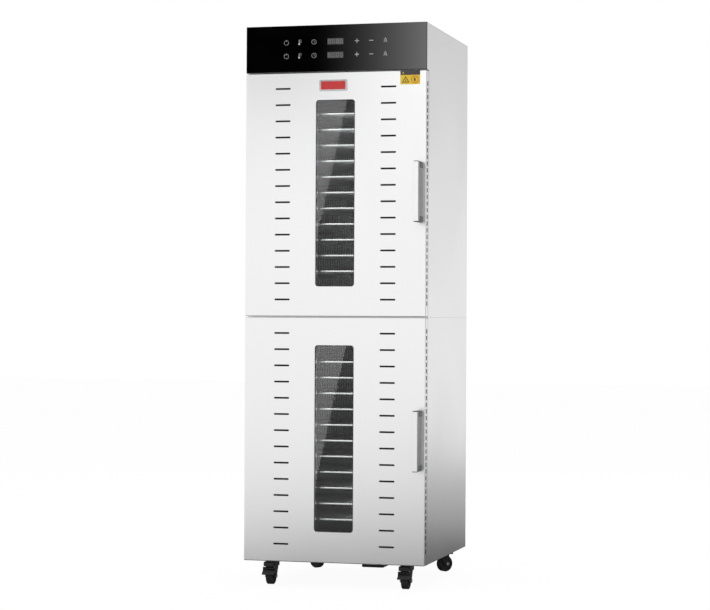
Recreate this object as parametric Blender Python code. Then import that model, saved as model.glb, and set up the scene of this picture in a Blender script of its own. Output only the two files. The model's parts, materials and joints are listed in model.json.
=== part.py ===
"""Two-zone food dehydrator on casters: a tall cabinet with two doors, two tray chambers and two fans.

Metres, +Z up. The origin is on the floor, at the middle of the object's box: x runs to the right,
y runs from the doors to the back. The doors hinge on the left and the handles are on the right.
"""

import math

import bmesh
import bpy
from mathutils import Vector

# Cabinet
WIDTH = 0.556
DEPTH = 0.579  # from the doors' front to the back panel
MODULE_HEIGHT = 0.731
UPPER_REDUCTION = 0.001  # the upper module is this much shorter than the lower one
FASCIA_HEIGHT = 0.139
SHEET = 0.0012
GAP = 0.0003  # between pieces that touch

# Doors
DOOR_DEPTH = 0.027
SEAM = 0.003  # between the doors, and between a door and the fascia
SEAL_GAP = 0.003  # between a closed door and the cabinet's front
WINDOW_WIDTH = 0.120
WINDOW_SILL = 0.089  # from the door's lower edge
WINDOW_HEAD = 0.087  # the module's height above the sill and the window
WINDOW_HEIGHT = MODULE_HEIGHT - WINDOW_SILL - WINDOW_HEAD
GLASS = 0.004
GLASS_LAP = 0.010
VENT_LENGTH = 0.047
VENT_HEIGHT = 0.0055
VENT_PITCH = 0.0484
VENT_EDGE = 0.1155  # from the door's side to the middle of a column of vents
VENT_SPREAD = WIDTH / 2 - VENT_EDGE
VENT_FIRST = 0.0525  # from the door's lower edge
VENT_HEAD = 0.045  # the least height above the last row
VENT_ROWS = 1 + int((MODULE_HEIGHT - VENT_FIRST - VENT_HEAD) / VENT_PITCH)
EDGE_VENT_HEIGHT = 0.0135
EDGE_VENT_DEPTH = 0.012
EDGE_VENT_PITCH = 0.0205
EDGE_VENT_MARGIN = 0.025
SEAL_WIDTH = 0.014

# Handles
HANDLE_PROJECTION = 0.060
HANDLE_LENGTH = 0.178
HANDLE_WIDTH = 0.0143
HANDLE_BAR_DEPTH = 0.025
HANDLE_WEB = 0.0025
HANDLE_WEB_INSET = 0.0015
HANDLE_BLOCK = 0.018
HANDLE_EDGE = 0.0103  # from the cabinet's right side to the handle
HANDLE_CENTRE = 0.366  # from the door's lower edge

# Hinges
BARREL_RADIUS = 0.003
PIN_RADIUS = 0.0015
PIN_CLEARANCE = 0.0005
LEAF = 0.0015
LEAF_WIDTH = 0.022
LEAF_STANDOFF = 0.0038
KNUCKLES = 9
KNUCKLE_GAP = 0.0006

# Chambers and trays
SIDE_SPACE = 0.050  # insulation between a chamber and the cabinet's side
PLENUM = 0.149  # behind a chamber, for the fan and its motor
ROOF_SPACE = 0.055  # above a chamber
CHAMBER_WIDTH = WIDTH - 2 * SIDE_SPACE
CHAMBER_DEPTH = DEPTH - DOOR_DEPTH - SEAL_GAP - PLENUM
CHAMBER_FLOOR = 0.060  # above the foot of its module
CHAMBER_CEILING = MODULE_HEIGHT - ROOF_SPACE
TRAY_PITCH = 0.0471
FIRST_TRAY = {"lower": 0.123, "upper": 0.134}  # above the foot of its module
LAST_TRAY_SPACE = 0.040  # the least height between the last tray and the ceiling
TRAY_COUNT = 1 + int((CHAMBER_CEILING - LAST_TRAY_SPACE - FIRST_TRAY["upper"]) / TRAY_PITCH)
RUNNER_WIDTH = 0.014
RUNNER_HEIGHT = 0.002
TRAY_SIDE_CLEARANCE = 0.004
TRAY_SETBACK = 0.016
TRAY_REAR_CLEARANCE = 0.006
TRAY_RIM = 0.006
TRAY_RIM_HEIGHT = 0.005
TRAY_MESH = 0.0004

# Fans, motors and heaters
FAN_RADIUS = 0.074
FAN_OPENING_CLEARANCE = 0.006
FAN_OPENING_RADIUS = FAN_RADIUS + FAN_OPENING_CLEARANCE
FAN_BLADES = 6
FAN_HUB_RADIUS = 0.022
FAN_HUB_LENGTH = 0.026
FAN_NOSE_RADIUS = 0.0132
FAN_NOSE_LENGTH = 0.0052
FAN_BAFFLE_GAP = 0.012
BLADE_THICKNESS = 0.0015
BLADE_ROOT_DEPTH = 0.0044  # how far a blade's root lies inside the hub
BLADE_ROOT_WIDTH = 0.0156
BLADE_TIP_WIDTH = 0.03224
BLADE_PITCH = math.radians(32)
SHAFT_RADIUS = 0.004
SHAFT_CLEARANCE = 0.0004
SHAFT_IN_MOTOR = 0.030
MOTOR_RADIUS = 0.036
MOTOR_LENGTH = 0.050
MOTOR_BOSS_RADIUS = 0.012
MOTOR_BOSS_LENGTH = 0.006
MOTOR_FLANGE_RADIUS = 0.052
MOTOR_FLANGE = 0.002
HEATER_CLEARANCE = 0.026  # from the blades' tips to the middle of the rod
HEATER_RADIUS = FAN_RADIUS + HEATER_CLEARANCE
HEATER_ROD_RADIUS = 0.004
HEATER_TURN = math.radians(330)
HEATER_BEND = 0.012
HEATER_STEPS = 22
RETURN_SLOTS = 8
RETURN_SLOT_LENGTH = 0.070
RETURN_SLOT_HEIGHT = 0.010
LOUVRES = 8
LOUVRE_LENGTH = 0.160
LOUVRE_HEIGHT = 0.005
LOUVRE_PITCH = 0.014
LOUVRE_DROP = 0.100  # from a fan's axis down to its first louvre

# Controls and mains
FASCIA_GLASS = 0.005
BOARD_WIDTH = 0.360
BOARD_HEIGHT = 0.086
BOARD_DEPTH = 0.012
TERMINAL_WIDTH = 0.070
TERMINAL_DEPTH = 0.090
TERMINAL_HEIGHT = 0.050
TERMINAL_X = 0.030  # from the cabinet's middle
TERMINAL_Y = 0.110
GLAND_RADIUS = 0.011
GLAND_LENGTH = 0.016

# Casters
WHEEL_RADIUS = 0.025
WHEEL_TO_BASE = 0.025  # from the wheel's top to the cabinet
CASTER_HEIGHT = 2 * WHEEL_RADIUS + WHEEL_TO_BASE
WHEEL_WIDTH = 0.021
WHEEL_CHAMFER = 0.003
WHEEL_SIDE_GAP = 0.0020
AXLE_RADIUS = 0.003
AXLE_CLEARANCE = 0.0004
TRAIL = 0.018
CHEEK = 0.0025
CROWN_RADIUS = 0.020
CROWN_HEIGHT = 0.012
CHEEK_ROOT = 0.012  # half the length of a cheek where it meets the crown
AXLE_LOBE = 0.006  # of a cheek around the axle
AXLE_HEAD = 0.00125  # how far the axle stands proud of a cheek
KINGPIN_RADIUS = 0.004
KINGPIN_CLEARANCE = 0.0005
CASTER_PLATE_WIDTH = 0.043
CASTER_PLATE_LENGTH = 0.056
CASTER_PLATE = 0.0025
CASTER_INSET_X = 0.069
CASTER_INSET_FRONT = 0.0735
CASTER_INSET_BACK = 0.062
PEDAL_WIDTH = 0.035
PEDAL_THICKNESS = 0.003
PEDAL_WHEEL_GAP = 0.0035
PEDAL_PIN_RADIUS = 0.0025
PEDAL_PIN_ANGLE = math.radians(70)  # about the axle, up from the horizontal
PEDAL_NECK_ANGLE = math.radians(42)
PEDAL_SHOULDER_ANGLE = math.radians(48)
PEDAL_TIP_ANGLE = math.radians(12)
EAR = 0.0025  # of the fork, around the pedal's pin
CASTER_HEADINGS = {"front_left": 0, "front_right": 0, "rear_left": 60, "rear_right": 140}  # degrees

# Places that follow from the sizes
CENTRE_X = BARREL_RADIUS + GAP / 2
LEFT = CENTRE_X - WIDTH / 2
RIGHT = CENTRE_X + WIDTH / 2
FRONT = (HANDLE_PROJECTION - DEPTH) / 2
BACK = FRONT + DEPTH
BASE = CASTER_HEIGHT
SPLIT = BASE + MODULE_HEIGHT
FASCIA_BOTTOM = SPLIT + MODULE_HEIGHT - UPPER_REDUCTION
TOP = FASCIA_BOTTOM + FASCIA_HEIGHT
DOOR_BACK = FRONT + DOOR_DEPTH
CABINET_FRONT = DOOR_BACK + SEAL_GAP
CABINET_BACK = BACK - SHEET - GAP
CHAMBER_BACK = CABINET_FRONT + CHAMBER_DEPTH
BAFFLE_BACK = CHAMBER_BACK + GAP + SHEET
HINGE_X = LEFT - GAP - BARREL_RADIUS
HINGE_Y = DOOR_BACK + SEAL_GAP / 2
MODULES = {"lower": BASE, "upper": SPLIT}
DOORS = {
    "lower": (BASE + SEAM, SPLIT - SEAM / 2),
    "upper": (SPLIT + SEAM / 2, FASCIA_BOTTOM - SEAM),
}

STEEL = ((0.78, 0.78, 0.79), 0.30, 1.0)
BRIGHT_STEEL = ((0.84, 0.84, 0.85), 0.22, 1.0)
GALVANISED = ((0.60, 0.62, 0.63), 0.45, 1.0)
BLACK_GLASS = ((0.01, 0.01, 0.012), 0.05, 0.0)
CLEAR_GLASS = ((0.70, 0.75, 0.75), 0.03, 0.0)
ALUMINIUM = ((0.80, 0.80, 0.82), 0.28, 1.0)
SILICONE = ((0.30, 0.30, 0.31), 0.65, 0.0)
BLACK_PLASTIC = ((0.03, 0.03, 0.032), 0.50, 0.0)
GREY_RUBBER = ((0.05, 0.05, 0.055), 0.70, 0.0)
BOARD_GREEN = ((0.03, 0.16, 0.07), 0.45, 0.0)
HEATER_STEEL = ((0.35, 0.33, 0.31), 0.40, 1.0)


# Building blocks

def clear_scene():
    for old in list(bpy.data.objects):
        bpy.data.objects.remove(old, do_unlink=True)


def material(name, finish):
    colour, roughness, metallic = finish
    made = bpy.data.materials.new(name)
    made.use_nodes = True
    shader = made.node_tree.nodes["Principled BSDF"]
    shader.inputs["Base Color"].default_value = (*colour, 1.0)
    shader.inputs["Roughness"].default_value = roughness
    shader.inputs["Metallic"].default_value = metallic
    return made


def add_object(name, data, finish, parent=None):
    made = bpy.data.objects.new(name, data)
    bpy.context.scene.collection.objects.link(made)
    if finish:
        data.materials.append(material(name, finish))
    if parent:
        made.parent = parent
    return made


def add_shape(name, shape, finish, parent=None, smooth=False):
    """The bmesh as an object, with its faces pointing out."""
    bmesh.ops.recalc_face_normals(shape, faces=shape.faces[:])
    mesh = bpy.data.meshes.new(name)
    shape.to_mesh(mesh)
    shape.free()
    if smooth:
        mesh.shade_smooth()
        mesh.set_sharp_from_angle(angle=math.radians(35))
    return add_object(name, mesh, finish, parent)


def add_loft(shape, loops, ring=False):
    """A closed body through loops of equal length, capped at its ends, or joined end to start."""
    rows = [[shape.verts.new(point) for point in loop] for loop in loops]
    pairs = list(zip(rows, rows[1:]))
    if ring:
        pairs.append((rows[-1], rows[0]))
    else:
        shape.faces.new(rows[0])
        shape.faces.new(rows[-1])
    for row, following in pairs:
        for index in range(len(row)):
            after = (index + 1) % len(row)
            shape.faces.new((row[index], row[after], following[after], following[index]))


def loft(name, loops, finish, parent=None, ring=False, smooth=False):
    shape = bmesh.new()
    add_loft(shape, loops, ring)
    return add_shape(name, shape, finish, parent, smooth)


def upright(left, right, low, high, y):
    """A rectangle in the X-Z plane."""
    return [(left, y, low), (right, y, low), (right, y, high), (left, y, high)]


def level(left, right, near, far, z):
    """A rectangle in the X-Y plane."""
    return [(left, near, z), (right, near, z), (right, far, z), (left, far, z)]


def grown(rectangle, by):
    """The rectangle (left, right, low, high) with each side moved out."""
    left, right, low, high = rectangle
    return (left - by, right + by, low - by, high + by)


def circle(centre, axis, radius, sides):
    """A circle of points about centre; axis is the letter of the axis through it."""
    points = []
    for index in range(sides):
        turn = 2 * math.pi * index / sides - math.pi / 2
        across, along = radius * math.cos(turn), radius * math.sin(turn)
        offset = {"X": (0, across, along), "Y": (across, 0, along), "Z": (across, along, 0)}[axis]
        points.append(tuple(Vector(centre) + Vector(offset)))
    return points


def box_loops(low, high):
    return [
        upright(low[0], high[0], low[2], high[2], low[1]),
        upright(low[0], high[0], low[2], high[2], high[1]),
    ]


def box(name, low, high, finish, parent=None):
    return loft(name, box_loops(low, high), finish, parent)


def tool(name, bodies, parent=None):
    """A helper that cuts or joins; bodies is a list of (loops, ring)."""
    shape = bmesh.new()
    for loops, ring in bodies:
        add_loft(shape, loops, ring)
    made = add_shape(name, shape, None, parent)
    made.hide_render = True
    made.display_type = "WIRE"
    return made


def box_tool(name, boxes, parent=None):
    return tool(name, [(box_loops(low, high), False) for low, high in boxes], parent)


def combine(target, helper, operation):
    step = target.modifiers.new(helper.name, "BOOLEAN")
    step.operation = operation
    step.solver = "EXACT"
    step.object = helper


def pivot(name, place, parent=None, heading=0.0):
    made = bpy.data.objects.new(name, None)
    made.empty_display_size = 0.03
    made.location = place
    made.rotation_euler = (0, 0, heading)
    made.parent = parent
    bpy.context.scene.collection.objects.link(made)
    return made


def from_world(child, parent):
    """Parents a piece whose mesh is in world coordinates, and leaves it where it is."""
    child.parent = parent
    child.matrix_parent_inverse.identity()
    child.location = -Vector(parent.location)


# Cabinet

def side_panels(low, high, web_low, web_high):
    """The outline of two side sheets that a level sheet joins, as corners in the X-Z plane."""
    inner_left, inner_right = LEFT + SHEET, RIGHT - SHEET
    if web_low == low:
        return [(LEFT, low), (RIGHT, low), (RIGHT, high), (inner_right, high),
                (inner_right, web_high), (inner_left, web_high), (inner_left, high), (LEFT, high)]
    return [(LEFT, low), (inner_left, low), (inner_left, web_low), (inner_right, web_low),
            (inner_right, low), (RIGHT, low), (RIGHT, high), (LEFT, high)]


def extruded_along_y(outline, near, far):
    return [[(x, near, z) for x, z in outline], [(x, far, z) for x, z in outline]]


def caster_places():
    left, right = LEFT + CASTER_INSET_X, RIGHT - CASTER_INSET_X
    front, back = FRONT + CASTER_INSET_FRONT, BACK - CASTER_INSET_BACK
    return {
        "front_left": (left, front),
        "front_right": (right, front),
        "rear_left": (left, back),
        "rear_right": (right, back),
    }


def lower_casing():
    outline = side_panels(BASE, SPLIT - GAP, BASE, BASE + SHEET)
    casing = loft("lower_casing", extruded_along_y(outline, CABINET_FRONT, CABINET_BACK), STEEL)
    plates, kingpins = [], []
    for x, y in caster_places().values():
        half_width, half_length = CASTER_PLATE_WIDTH / 2, CASTER_PLATE_LENGTH / 2
        plates.append(((x - half_width, y - half_length, BASE - CASTER_PLATE),
                       (x + half_width, y + half_length, BASE + SHEET / 2)))
        top = BASE - CASTER_PLATE / 2
        bottom = BASE - CASTER_PLATE - GAP - CROWN_HEIGHT
        kingpins.append(([circle((x, y, z), "Z", KINGPIN_RADIUS, 12) for z in (bottom, top)], False))
    combine(casing, box_tool("caster_plates_tool", plates), "UNION")
    combine(casing, tool("kingpins_tool", kingpins), "UNION")


def upper_casing():
    outline = side_panels(SPLIT, TOP, TOP - SHEET, TOP)
    glass_back = FRONT + FASCIA_GLASS + GAP
    casing = loft("upper_casing", extruded_along_y(outline, glass_back, CABINET_BACK), STEEL)
    shelf = ((LEFT + SHEET / 2, glass_back, FASCIA_BOTTOM),
             (RIGHT - SHEET / 2, CABINET_BACK, FASCIA_BOTTOM + SHEET))
    combine(casing, box_tool("control_shelf_tool", [shelf]), "UNION")
    door_space = ((LEFT - SHEET, FRONT - SHEET, SPLIT - SHEET),
                  (RIGHT + SHEET, CABINET_FRONT, FASCIA_BOTTOM))
    combine(casing, box_tool("door_space_tool", [door_space]), "DIFFERENCE")


def fan_height(module):
    foot = MODULES[module]
    return foot + (CHAMBER_FLOOR + CHAMBER_CEILING) / 2


def back_panel():
    panel = box("back_panel", (LEFT, BACK - SHEET, BASE), (RIGHT, BACK, TOP), STEEL)
    slots = []
    for module in MODULES:
        for row in range(LOUVRES):
            z = fan_height(module) - LOUVRE_DROP - row * LOUVRE_PITCH
            slots.append(((CENTRE_X - LOUVRE_LENGTH / 2, BACK - 2 * SHEET, z - LOUVRE_HEIGHT / 2),
                          (CENTRE_X + LOUVRE_LENGTH / 2, BACK + SHEET, z + LOUVRE_HEIGHT / 2)))
    combine(panel, box_tool("louvres_tool", slots), "DIFFERENCE")


def chamber_opening(module):
    """The chamber's inside, as (left, right, low, high)."""
    foot = MODULES[module]
    half = CHAMBER_WIDTH / 2
    return (CENTRE_X - half, CENTRE_X + half, foot + CHAMBER_FLOOR, foot + CHAMBER_CEILING)


def tray_height(module, index):
    return MODULES[module] + FIRST_TRAY[module] + index * TRAY_PITCH


def chamber(module):
    """A sheet tube with a flange that is the cabinet's front, and runners for the trays."""
    inside = chamber_opening(module)
    outside = grown(inside, SHEET)
    low = BASE + SHEET + GAP if module == "lower" else SPLIT
    high = SPLIT - GAP if module == "lower" else FASCIA_BOTTOM - GAP
    flange = (LEFT + SHEET + GAP, RIGHT - SHEET - GAP, low, high)
    loops = [
        upright(*inside, CABINET_FRONT),
        upright(*inside, CHAMBER_BACK),
        upright(*outside, CHAMBER_BACK),
        upright(*outside, CABINET_FRONT + SHEET),
        upright(*flange, CABINET_FRONT + SHEET),
        upright(*flange, CABINET_FRONT),
    ]
    body = loft(f"{module}_chamber", loops, BRIGHT_STEEL, ring=True)
    runners = []
    for index in range(TRAY_COUNT):
        top = tray_height(module, index) - GAP
        for wall, inner in ((inside[0], RUNNER_WIDTH), (inside[1], -RUNNER_WIDTH)):
            sides = sorted((wall - math.copysign(SHEET / 2, inner), wall + inner))
            runners.append(((sides[0], CABINET_FRONT + TRAY_SETBACK, top - RUNNER_HEIGHT),
                            (sides[1], CHAMBER_BACK - TRAY_REAR_CLEARANCE, top)))
    combine(body, box_tool(f"{module}_runners_tool", runners), "UNION")


def tray(module, index):
    """A rim with a thin sheet across it, which stands for the woven wire."""
    half = CHAMBER_WIDTH / 2 - TRAY_SIDE_CLEARANCE
    near = CABINET_FRONT + TRAY_SETBACK
    far = CHAMBER_BACK - TRAY_REAR_CLEARANCE
    low = tray_height(module, index)
    mesh_low = low + (TRAY_RIM_HEIGHT - TRAY_MESH) / 2
    rim = (CENTRE_X - half, CENTRE_X + half, near, far)
    inner = grown(rim, -TRAY_RIM)
    loops = [
        level(*inner, mesh_low),
        level(*inner, low),
        level(*rim, low),
        level(*rim, low + TRAY_RIM_HEIGHT),
        level(*inner, low + TRAY_RIM_HEIGHT),
        level(*inner, mesh_low + TRAY_MESH),
    ]
    loft(f"{module}_tray_{index + 1:02d}", loops, BRIGHT_STEEL)


# Fan units

def fan_baffle(module):
    """The chamber's rear wall, with the fan's opening and the return slots on both sides."""
    inside = chamber_opening(module)
    near = CHAMBER_BACK + GAP
    z_fan = fan_height(module)
    baffle = loft(
        f"{module}_fan_baffle",
        [upright(*grown(inside, SHEET), near), upright(*grown(inside, SHEET), near + SHEET)],
        BRIGHT_STEEL,
    )
    opening = [circle((CENTRE_X, y, z_fan), "Y", FAN_OPENING_RADIUS, 32)
               for y in (near - SHEET, near + 2 * SHEET)]
    combine(baffle, tool(f"{module}_fan_opening_tool", [(opening, False)]), "DIFFERENCE")
    slots = []
    pitch = (inside[3] - inside[2]) / (RETURN_SLOTS + 1)
    centre_offset = (FAN_OPENING_RADIUS + CHAMBER_WIDTH / 2) / 2
    for row in range(RETURN_SLOTS):
        z = inside[2] + (row + 1) * pitch
        for side in (-1, 1):
            x = CENTRE_X + side * centre_offset
            slots.append(((x - RETURN_SLOT_LENGTH / 2, near - SHEET, z - RETURN_SLOT_HEIGHT / 2),
                          (x + RETURN_SLOT_LENGTH / 2, near + 2 * SHEET, z + RETURN_SLOT_HEIGHT / 2)))
    combine(baffle, box_tool(f"{module}_return_slots_tool", slots), "DIFFERENCE")


def fan_motor(module):
    """A motor with its flange on the back panel and a blind bore for the fan's shaft."""
    z = fan_height(module)
    back = BACK - SHEET - GAP
    body_front = back - MOTOR_FLANGE - MOTOR_LENGTH
    boss_front = body_front - MOTOR_BOSS_LENGTH
    bore = SHAFT_RADIUS + SHAFT_CLEARANCE
    profile = [
        (MOTOR_FLANGE_RADIUS, back),
        (MOTOR_FLANGE_RADIUS, back - MOTOR_FLANGE),
        (MOTOR_RADIUS, back - MOTOR_FLANGE),
        (MOTOR_RADIUS, body_front),
        (MOTOR_BOSS_RADIUS, body_front),
        (MOTOR_BOSS_RADIUS, boss_front),
        (bore, boss_front),
        (bore, boss_front + SHAFT_IN_MOTOR + SHAFT_CLEARANCE),
    ]
    loops = [circle((CENTRE_X, y, z), "Y", radius, 16) for radius, y in profile]
    loft(f"{module}_fan_motor", loops, GALVANISED, smooth=True)
    return boss_front


def blade_section(radius, angle, half_width):
    """The four corners of a pitched blade, at a distance from the fan's axis."""
    outward = Vector((math.cos(angle), 0, math.sin(angle)))
    around = Vector((-math.sin(angle), 0, math.cos(angle)))
    chord = around * math.cos(BLADE_PITCH) + Vector((0, 1, 0)) * math.sin(BLADE_PITCH)
    normal = chord.cross(outward)
    corners = ((-1, -1), (1, -1), (1, 1), (-1, 1))
    return [tuple(outward * radius + chord * half_width * along + normal * BLADE_THICKNESS / 2 * across)
            for along, across in corners]


def fan(module, boss_front):
    """Hub, blades and the shaft that runs in the motor; modelled about the fan's axis."""
    hub_front = BAFFLE_BACK + FAN_BAFFLE_GAP
    hub_back = hub_front + FAN_HUB_LENGTH
    middle = (hub_front + hub_back) / 2
    centre = pivot(f"{module}_fan_pivot", (CENTRE_X, middle, fan_height(module)))
    shaft_back = boss_front + SHAFT_IN_MOTOR
    profile = [
        (FAN_NOSE_RADIUS, hub_front),
        (FAN_HUB_RADIUS, hub_front + FAN_NOSE_LENGTH),
        (FAN_HUB_RADIUS, hub_back),
        (SHAFT_RADIUS, hub_back),
        (SHAFT_RADIUS, shaft_back),
    ]
    loops = [circle((0, y - middle, 0), "Y", radius, 16) for radius, y in profile]
    hub = loft(f"{module}_fan", loops, ALUMINIUM, centre)
    blades = []
    for index in range(FAN_BLADES):
        angle = 2 * math.pi * index / FAN_BLADES
        root = blade_section(FAN_HUB_RADIUS - BLADE_ROOT_DEPTH, angle, BLADE_ROOT_WIDTH / 2)
        tip = blade_section(FAN_RADIUS, angle, BLADE_TIP_WIDTH / 2)
        blades.append(([root, tip], False))
    combine(hub, tool(f"{module}_blades_tool", blades, centre), "UNION")


def heater(module):
    """A sheathed rod bent into a ring about the fan, with both ends led back to the rear panel."""
    z_fan = fan_height(module)
    y_ring = BAFFLE_BACK + FAN_BAFFLE_GAP + FAN_HUB_LENGTH / 2
    y_end = BACK - SHEET - GAP
    start = -math.pi / 2 + (2 * math.pi - HEATER_TURN) / 2
    ring = []
    for index in range(HEATER_STEPS + 1):
        turn = start + HEATER_TURN * index / HEATER_STEPS
        ring.append(Vector((CENTRE_X + HEATER_RADIUS * math.cos(turn), y_ring,
                            z_fan + HEATER_RADIUS * math.sin(turn))))

    def leg(end, neighbour):
        """From the rear panel to the ring's end, with a bend."""
        away = (end - neighbour).normalized()
        corner = end + away * HEATER_BEND
        back = Vector((0, 1, 0))
        bend = [corner + back * HEATER_BEND,
                end + away * HEATER_BEND * 0.7 + back * HEATER_BEND * 0.3]
        return [Vector((corner.x, y_end, corner.z))] + bend

    route = leg(ring[0], ring[1]) + ring + leg(ring[-1], ring[-2])[::-1]
    path = bpy.data.curves.new(f"{module}_heater", "CURVE")
    path.dimensions = "3D"
    path.bevel_depth = HEATER_ROD_RADIUS
    path.bevel_resolution = 2
    path.use_fill_caps = True
    spline = path.splines.new("POLY")
    spline.points.add(len(route) - 1)
    for point, place in zip(spline.points, route):
        point.co = (*place, 1.0)
    add_object(f"{module}_heater", path, HEATER_STEEL)


# Doors

def knuckle_spans(low, high):
    """The low and high ends of each knuckle along a hinge."""
    length = (high - low) / KNUCKLES
    return [(low + index * length + KNUCKLE_GAP / 2, low + (index + 1) * length - KNUCKLE_GAP / 2)
            for index in range(KNUCKLES)]


def leaf_outline(spans, low, high, direction, tooth):
    """A hinge leaf with a tooth to each of its knuckles, as corners (y, z)."""
    root = HINGE_Y + direction * LEAF_STANDOFF
    edge = HINGE_Y + direction * LEAF_WIDTH
    outline = [(edge, high), (edge, low)]
    if spans[0][0] > low + KNUCKLE_GAP:
        outline.append((root, low))
    for bottom, top in spans:
        first = [(root, bottom)] if bottom > low + KNUCKLE_GAP else []
        last = [(root, top)] if top < high - KNUCKLE_GAP else []
        outline += first + [(tooth, bottom), (tooth, top)] + last
    if spans[-1][1] < high - KNUCKLE_GAP:
        outline.append((root, high))
    return outline


def fixed_hinge(module):
    """The cabinet's leaf, with its knuckles and the pin in one piece."""
    low, high = DOORS[module]
    spans = knuckle_spans(low, high)
    own = spans[0::2]
    loops = []
    for bottom, top in own:
        if loops:
            loops.append(circle((HINGE_X, HINGE_Y, bottom), "Z", PIN_RADIUS, 12))
        loops.append(circle((HINGE_X, HINGE_Y, bottom), "Z", BARREL_RADIUS, 12))
        loops.append(circle((HINGE_X, HINGE_Y, top), "Z", BARREL_RADIUS, 12))
        if top < own[-1][1]:
            loops.append(circle((HINGE_X, HINGE_Y, top), "Z", PIN_RADIUS, 12))
    hinge = loft(f"{module}_hinge", loops, STEEL)
    outline = leaf_outline(own, own[0][0], own[-1][1], 1, HINGE_Y)
    leaf = [[(x, y, z) for y, z in outline] for x in (LEFT - GAP - LEAF, LEFT - GAP)]
    combine(hinge, tool(f"{module}_fixed_leaf_tool", [(leaf, False)]), "UNION")


def vent_boxes(module, rows, near, far):
    """Both columns of vents in the given rows, as boxes from the plane near to the plane far."""
    low = DOORS[module][0]
    boxes = []
    for row in rows:
        z = low + VENT_FIRST + row * VENT_PITCH
        for side in (-1, 1):
            x = CENTRE_X + side * VENT_SPREAD
            boxes.append(((x - VENT_LENGTH / 2, near, z - VENT_HEIGHT / 2),
                          (x + VENT_LENGTH / 2, far, z + VENT_HEIGHT / 2)))
    return boxes


def window(module):
    low = DOORS[module][0] + WINDOW_SILL
    half = WINDOW_WIDTH / 2
    return (CENTRE_X - half, CENTRE_X + half, low, low + WINDOW_HEIGHT)


def edge_vent_boxes(module):
    """The column of vents in the door's right-hand edge."""
    low, high = DOORS[module]
    count = int((high - low - 2 * EDGE_VENT_MARGIN) / EDGE_VENT_PITCH)
    first = (low + high - (count - 1) * EDGE_VENT_PITCH) / 2
    y = (FRONT + DOOR_BACK) / 2
    boxes = []
    for row in range(count):
        z = first + row * EDGE_VENT_PITCH
        boxes.append(((RIGHT - 2 * SHEET, y - EDGE_VENT_DEPTH / 2, z - EDGE_VENT_HEIGHT / 2),
                      (RIGHT + SHEET, y + EDGE_VENT_DEPTH / 2, z + EDGE_VENT_HEIGHT / 2)))
    return boxes


def door_skin(module, parent):
    """The door's outer sheet: a pan with the window, the vents and its half of the hinge."""
    low, high = DOORS[module]
    outer = (LEFT, RIGHT, low, high)
    inner = grown(outer, -SHEET)
    loops = [
        upright(*outer, FRONT),
        upright(*outer, DOOR_BACK),
        upright(*inner, DOOR_BACK),
        upright(*inner, FRONT + SHEET),
    ]
    skin = loft(f"{module}_door_skin", loops, STEEL)
    left, right, sill, head = window(module)
    near, far = FRONT - SHEET, FRONT + 2 * SHEET
    cuts = vent_boxes(module, range(VENT_ROWS), near, far) + edge_vent_boxes(module)
    cuts.append(((left, near, sill), (right, far, head)))
    combine(skin, box_tool(f"{module}_skin_cuts_tool", cuts), "DIFFERENCE")
    own = knuckle_spans(low, high)[1::2]
    bore = PIN_RADIUS + PIN_CLEARANCE
    outline = leaf_outline(own, low, high, -1, HINGE_Y - bore)
    leaf = [[(x, y, z) for y, z in outline] for x in (LEFT - GAP - LEAF, LEFT + SHEET / 2)]
    combine(skin, tool(f"{module}_door_leaf_tool", [(leaf, False)]), "UNION")
    rings = []
    for bottom, top in own:
        sizes = ((BARREL_RADIUS, bottom), (BARREL_RADIUS, top), (bore, top), (bore, bottom))
        rings.append(([circle((HINGE_X, HINGE_Y, z), "Z", radius, 12) for radius, z in sizes], True))
    combine(skin, tool(f"{module}_knuckles_tool", rings), "UNION")
    from_world(skin, parent)


def door_glass(module, parent):
    left, right, sill, head = grown(window(module), GLASS_LAP)
    near = FRONT + SHEET + GAP
    pane = box(f"{module}_door_glass", (left, near, sill), (right, near + GLASS, head), CLEAR_GLASS)
    from_world(pane, parent)


def door_liner(module, parent):
    """The door's inner panel, with a tunnel that holds the pane against the skin."""
    low, high = DOORS[module]
    opening = window(module)
    tunnel = grown(opening, SHEET)
    outer = grown((LEFT, RIGHT, low, high), -SHEET - GAP)
    tunnel_front = FRONT + SHEET + GLASS + 2 * GAP
    loops = [
        upright(*opening, DOOR_BACK),
        upright(*opening, tunnel_front),
        upright(*tunnel, tunnel_front),
        upright(*tunnel, DOOR_BACK - SHEET),
        upright(*outer, DOOR_BACK - SHEET),
        upright(*outer, DOOR_BACK),
    ]
    liner = loft(f"{module}_door_liner", loops, STEEL, ring=True)
    every_other = range(0, VENT_ROWS, 2)
    vents = vent_boxes(module, every_other, DOOR_BACK - 2 * SHEET, DOOR_BACK + SHEET)
    combine(liner, box_tool(f"{module}_liner_vents_tool", vents), "DIFFERENCE")
    from_world(liner, parent)


def door_gasket(module, parent):
    inner = grown(chamber_opening(module), SEAL_WIDTH / 4)
    outer = grown(inner, SEAL_WIDTH)
    near, far = DOOR_BACK + GAP, CABINET_FRONT - GAP
    loops = [upright(*inner, near), upright(*inner, far), upright(*outer, far), upright(*outer, near)]
    from_world(loft(f"{module}_door_gasket", loops, SILICONE, ring=True), parent)


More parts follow.
